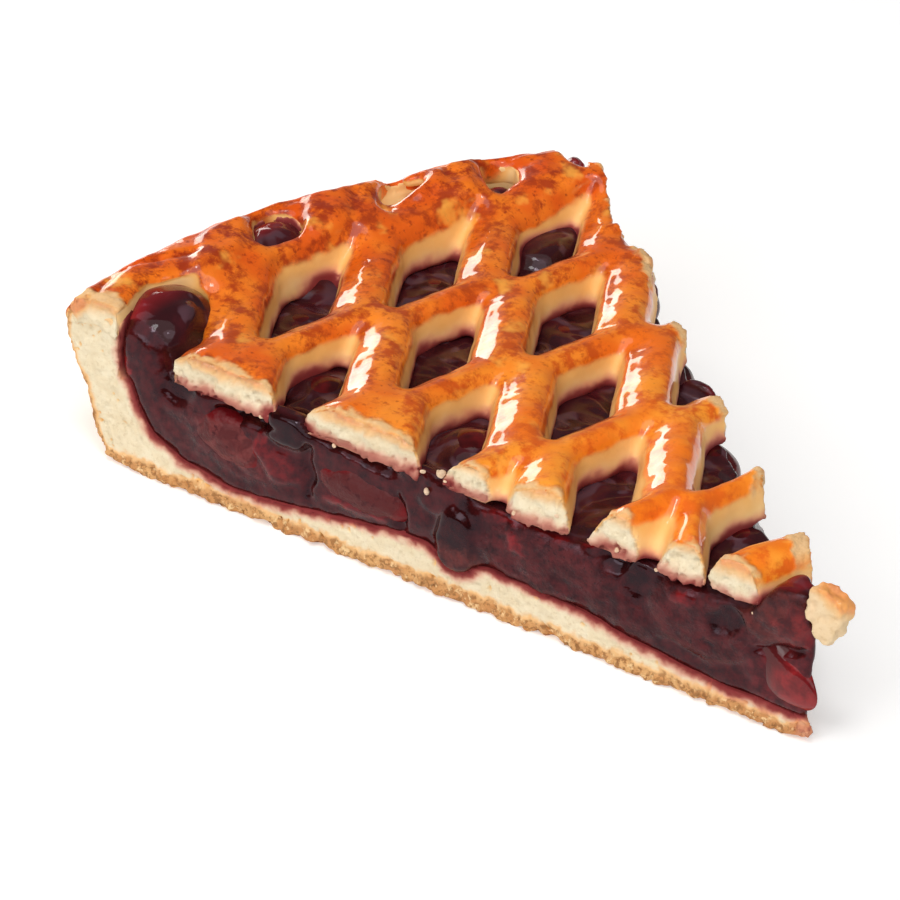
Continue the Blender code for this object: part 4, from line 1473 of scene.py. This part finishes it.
def wedge_finish():
    wedge = Finish("wet cherry at the tip")
    patch = wedge.noise(4.0, 3.0, 0.6, 0.5)
    bright = wedge.over((0.240, 0.014, 0.016), (0.120, 0.007, 0.009), patch, 0.38, 0.62)
    wedge.set(Base_Color=wedge.mix(wedge.attribute("red"), (0.075, 0.007, 0.008), bright))
    wedge.set(Roughness=0.07, IOR=1.38, Normal=wedge.bump(wedge.noise(2.2, 3.0), 0.25, 0.3))
    return wedge.material


cherry_skin = cherry_finish()
for name, cherry in cherries.items():
    give(cherry, wedge_finish() if name == "cherry_17" else cherry_skin)
cut_flesh = flesh_finish()
for cherry in cut_cherries.values():
    give(cherry, cut_flesh)
print("fruit finishes ready")

# %% [markdown]
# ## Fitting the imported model
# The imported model's box is the object's size, so noise must not carry a point out of it. Every point is
# held 0.01 mm inside.

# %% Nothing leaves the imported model's box
BOX_MARGIN = 0.01

for item in (shell, lattice, strip, scrap, gel, crumbs, *cherries.values(), *cut_cherries.values()):
    points = points_of(item)
    for axis in range(3):
        shift = TIP[axis] if axis < 2 else 0.0
        low, high = (CAD_BOX[end][axis] / MM - shift for end in (0, 1))
        points[:, axis] = np.clip(points[:, axis], low + BOX_MARGIN, high - BOX_MARGIN)
    move_points(item, points)
print("visual pieces kept inside the packed box")

# %% [markdown]
# Each piece is handed over: it rides on the slice's one body, and it stands in for an imported node, which
# is hidden. The crumbs are too small to have a node, so they replace none.

# %% Which imported node each piece stands for
def stands_for(piece, slot, *nodes):
    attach(piece, "root")
    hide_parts(*nodes)


stands_for(shell, "baked_crumb", "pastry_shell")
stands_for(lattice, "glazed_crust", "pastry_lattice")
stands_for(strip, "glazed_crust", "tip_strip")
stands_for(scrap, "glazed_crust", "tip_scrap")
stands_for(gel, "cherry_gel", "cherry_filling")
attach(crumbs, "root")
for name, cherry in cherries.items():
    stands_for(cherry, "cherry_skin", name)
for name, cherry in cut_cherries.items():
    stands_for(cherry, "cut_cherry", name)
print(5 + len(cherries) + len(cut_cherries), "pieces stand for nodes, and the crumbs for none")

# %% [markdown]
# ## Floor, light and camera
# The slice lies on a plain white table. The floor gives off a little light of its own, so that it stays
# white all round while the lights are set for the slice alone.

# %% Floor
bpy.ops.mesh.primitive_plane_add(size=6.0)
floor = added("floor")
floor_finish = Finish("white floor")
floor_finish.set(Base_Color=(0.80, 0.795, 0.79), Roughness=0.6)
floor_finish.set(Emission_Color=(1.0, 0.99, 0.98), Emission_Strength=0.34)
floor.data.materials.append(floor_finish.material)
print("floor of", [round(side, 1) for side in floor.dimensions[:2]], "metres")

# %% [markdown]
# Daylight comes in low and wide from behind to the left, and draws the white lines on the glaze. A side
# window and a broad front light fill the cut, and a small key light from above gives the dough its edge.

# %% Lights
# azimuth, elevation, distance, size, brightness all over, shape, colour
LIGHTS = {"window behind": (158.0, 11.0, 1.0, (0.72, 0.40), 6.3, "RECTANGLE", (1.0, 0.93, 0.84)),
          "side window": (256.0, 26.0, 1.1, (0.40, 0.44), 3.0, "RECTANGLE", (1.0, 1.0, 1.0)),
          "broad front": (290.0, 54.0, 1.6, (3.4, 2.4), 1.55, "ELLIPSE", (1.0, 1.0, 1.0)),
          "key": (285.0, 70.0, 1.15, (0.25, 0.25), 15.5, "ELLIPSE", (1.0, 1.0, 1.0))}
WORLD_STRENGTH = 0.12
SLICE_MIDDLE = Vector((0.0, 0.0, 0.01))


def soft_light(name, azimuth, elevation, distance, size, radiance, shape, colour):
    light = bpy.data.lights.new(name, "AREA")
    light.shape = shape
    light.size, light.size_y = size
    light.color = colour
    area = size[0] * size[1] * (math.pi / 4.0 if shape == "ELLIPSE" else 1.0)
    light.energy = radiance * math.pi * area
    lamp = bpy.data.objects.new(name, light)
    bpy.context.scene.collection.objects.link(lamp)
    turn, tilt = math.radians(azimuth), math.radians(elevation)
    towards = Vector((math.cos(turn) * math.cos(tilt), math.sin(turn) * math.cos(tilt), math.sin(tilt)))
    lamp.location = towards * distance
    lamp.rotation_euler = (lamp.location - SLICE_MIDDLE).to_track_quat("Z", "Y").to_euler()


for name, settings in LIGHTS.items():
    soft_light(name, *settings)
world = bpy.data.worlds.new("studio")
bpy.context.scene.world = world
world.use_nodes = True
world.node_tree.nodes["Background"].inputs["Color"].default_value = (1.0, 1.0, 1.0, 1.0)
world.node_tree.nodes["Background"].inputs["Strength"].default_value = WORLD_STRENGTH
print(len(LIGHTS), "lights")

# %% [markdown]
# The camera looks down on the near cut from the right, from far away with a long lens, so the slice keeps
# its proportions. It is set by two places, its eye and its aim, and then rolled a little.

# %% Camera
EYE = at(186.8, -421.3, 333.8)
AIM = at(-91.9, 38.6, 0.0)
ROLL = math.radians(3.29)
lens = bpy.data.cameras.new("camera")
lens.lens = 148.16
lens.sensor_width = 36.0
lens.clip_start = 0.01
camera = bpy.data.objects.new("camera", lens)
bpy.context.scene.collection.objects.link(camera)
turn = (EYE - AIM).to_track_quat("Z", "Y").to_matrix() @ Matrix.Rotation(ROLL, 3, "Z")
camera.matrix_world = Matrix.Translation(EYE) @ turn.to_4x4()
bpy.context.scene.camera = camera
bpy.context.scene.view_settings.view_transform = "Standard"
print("camera", round((EYE - AIM).length, 3), "m from its aim")
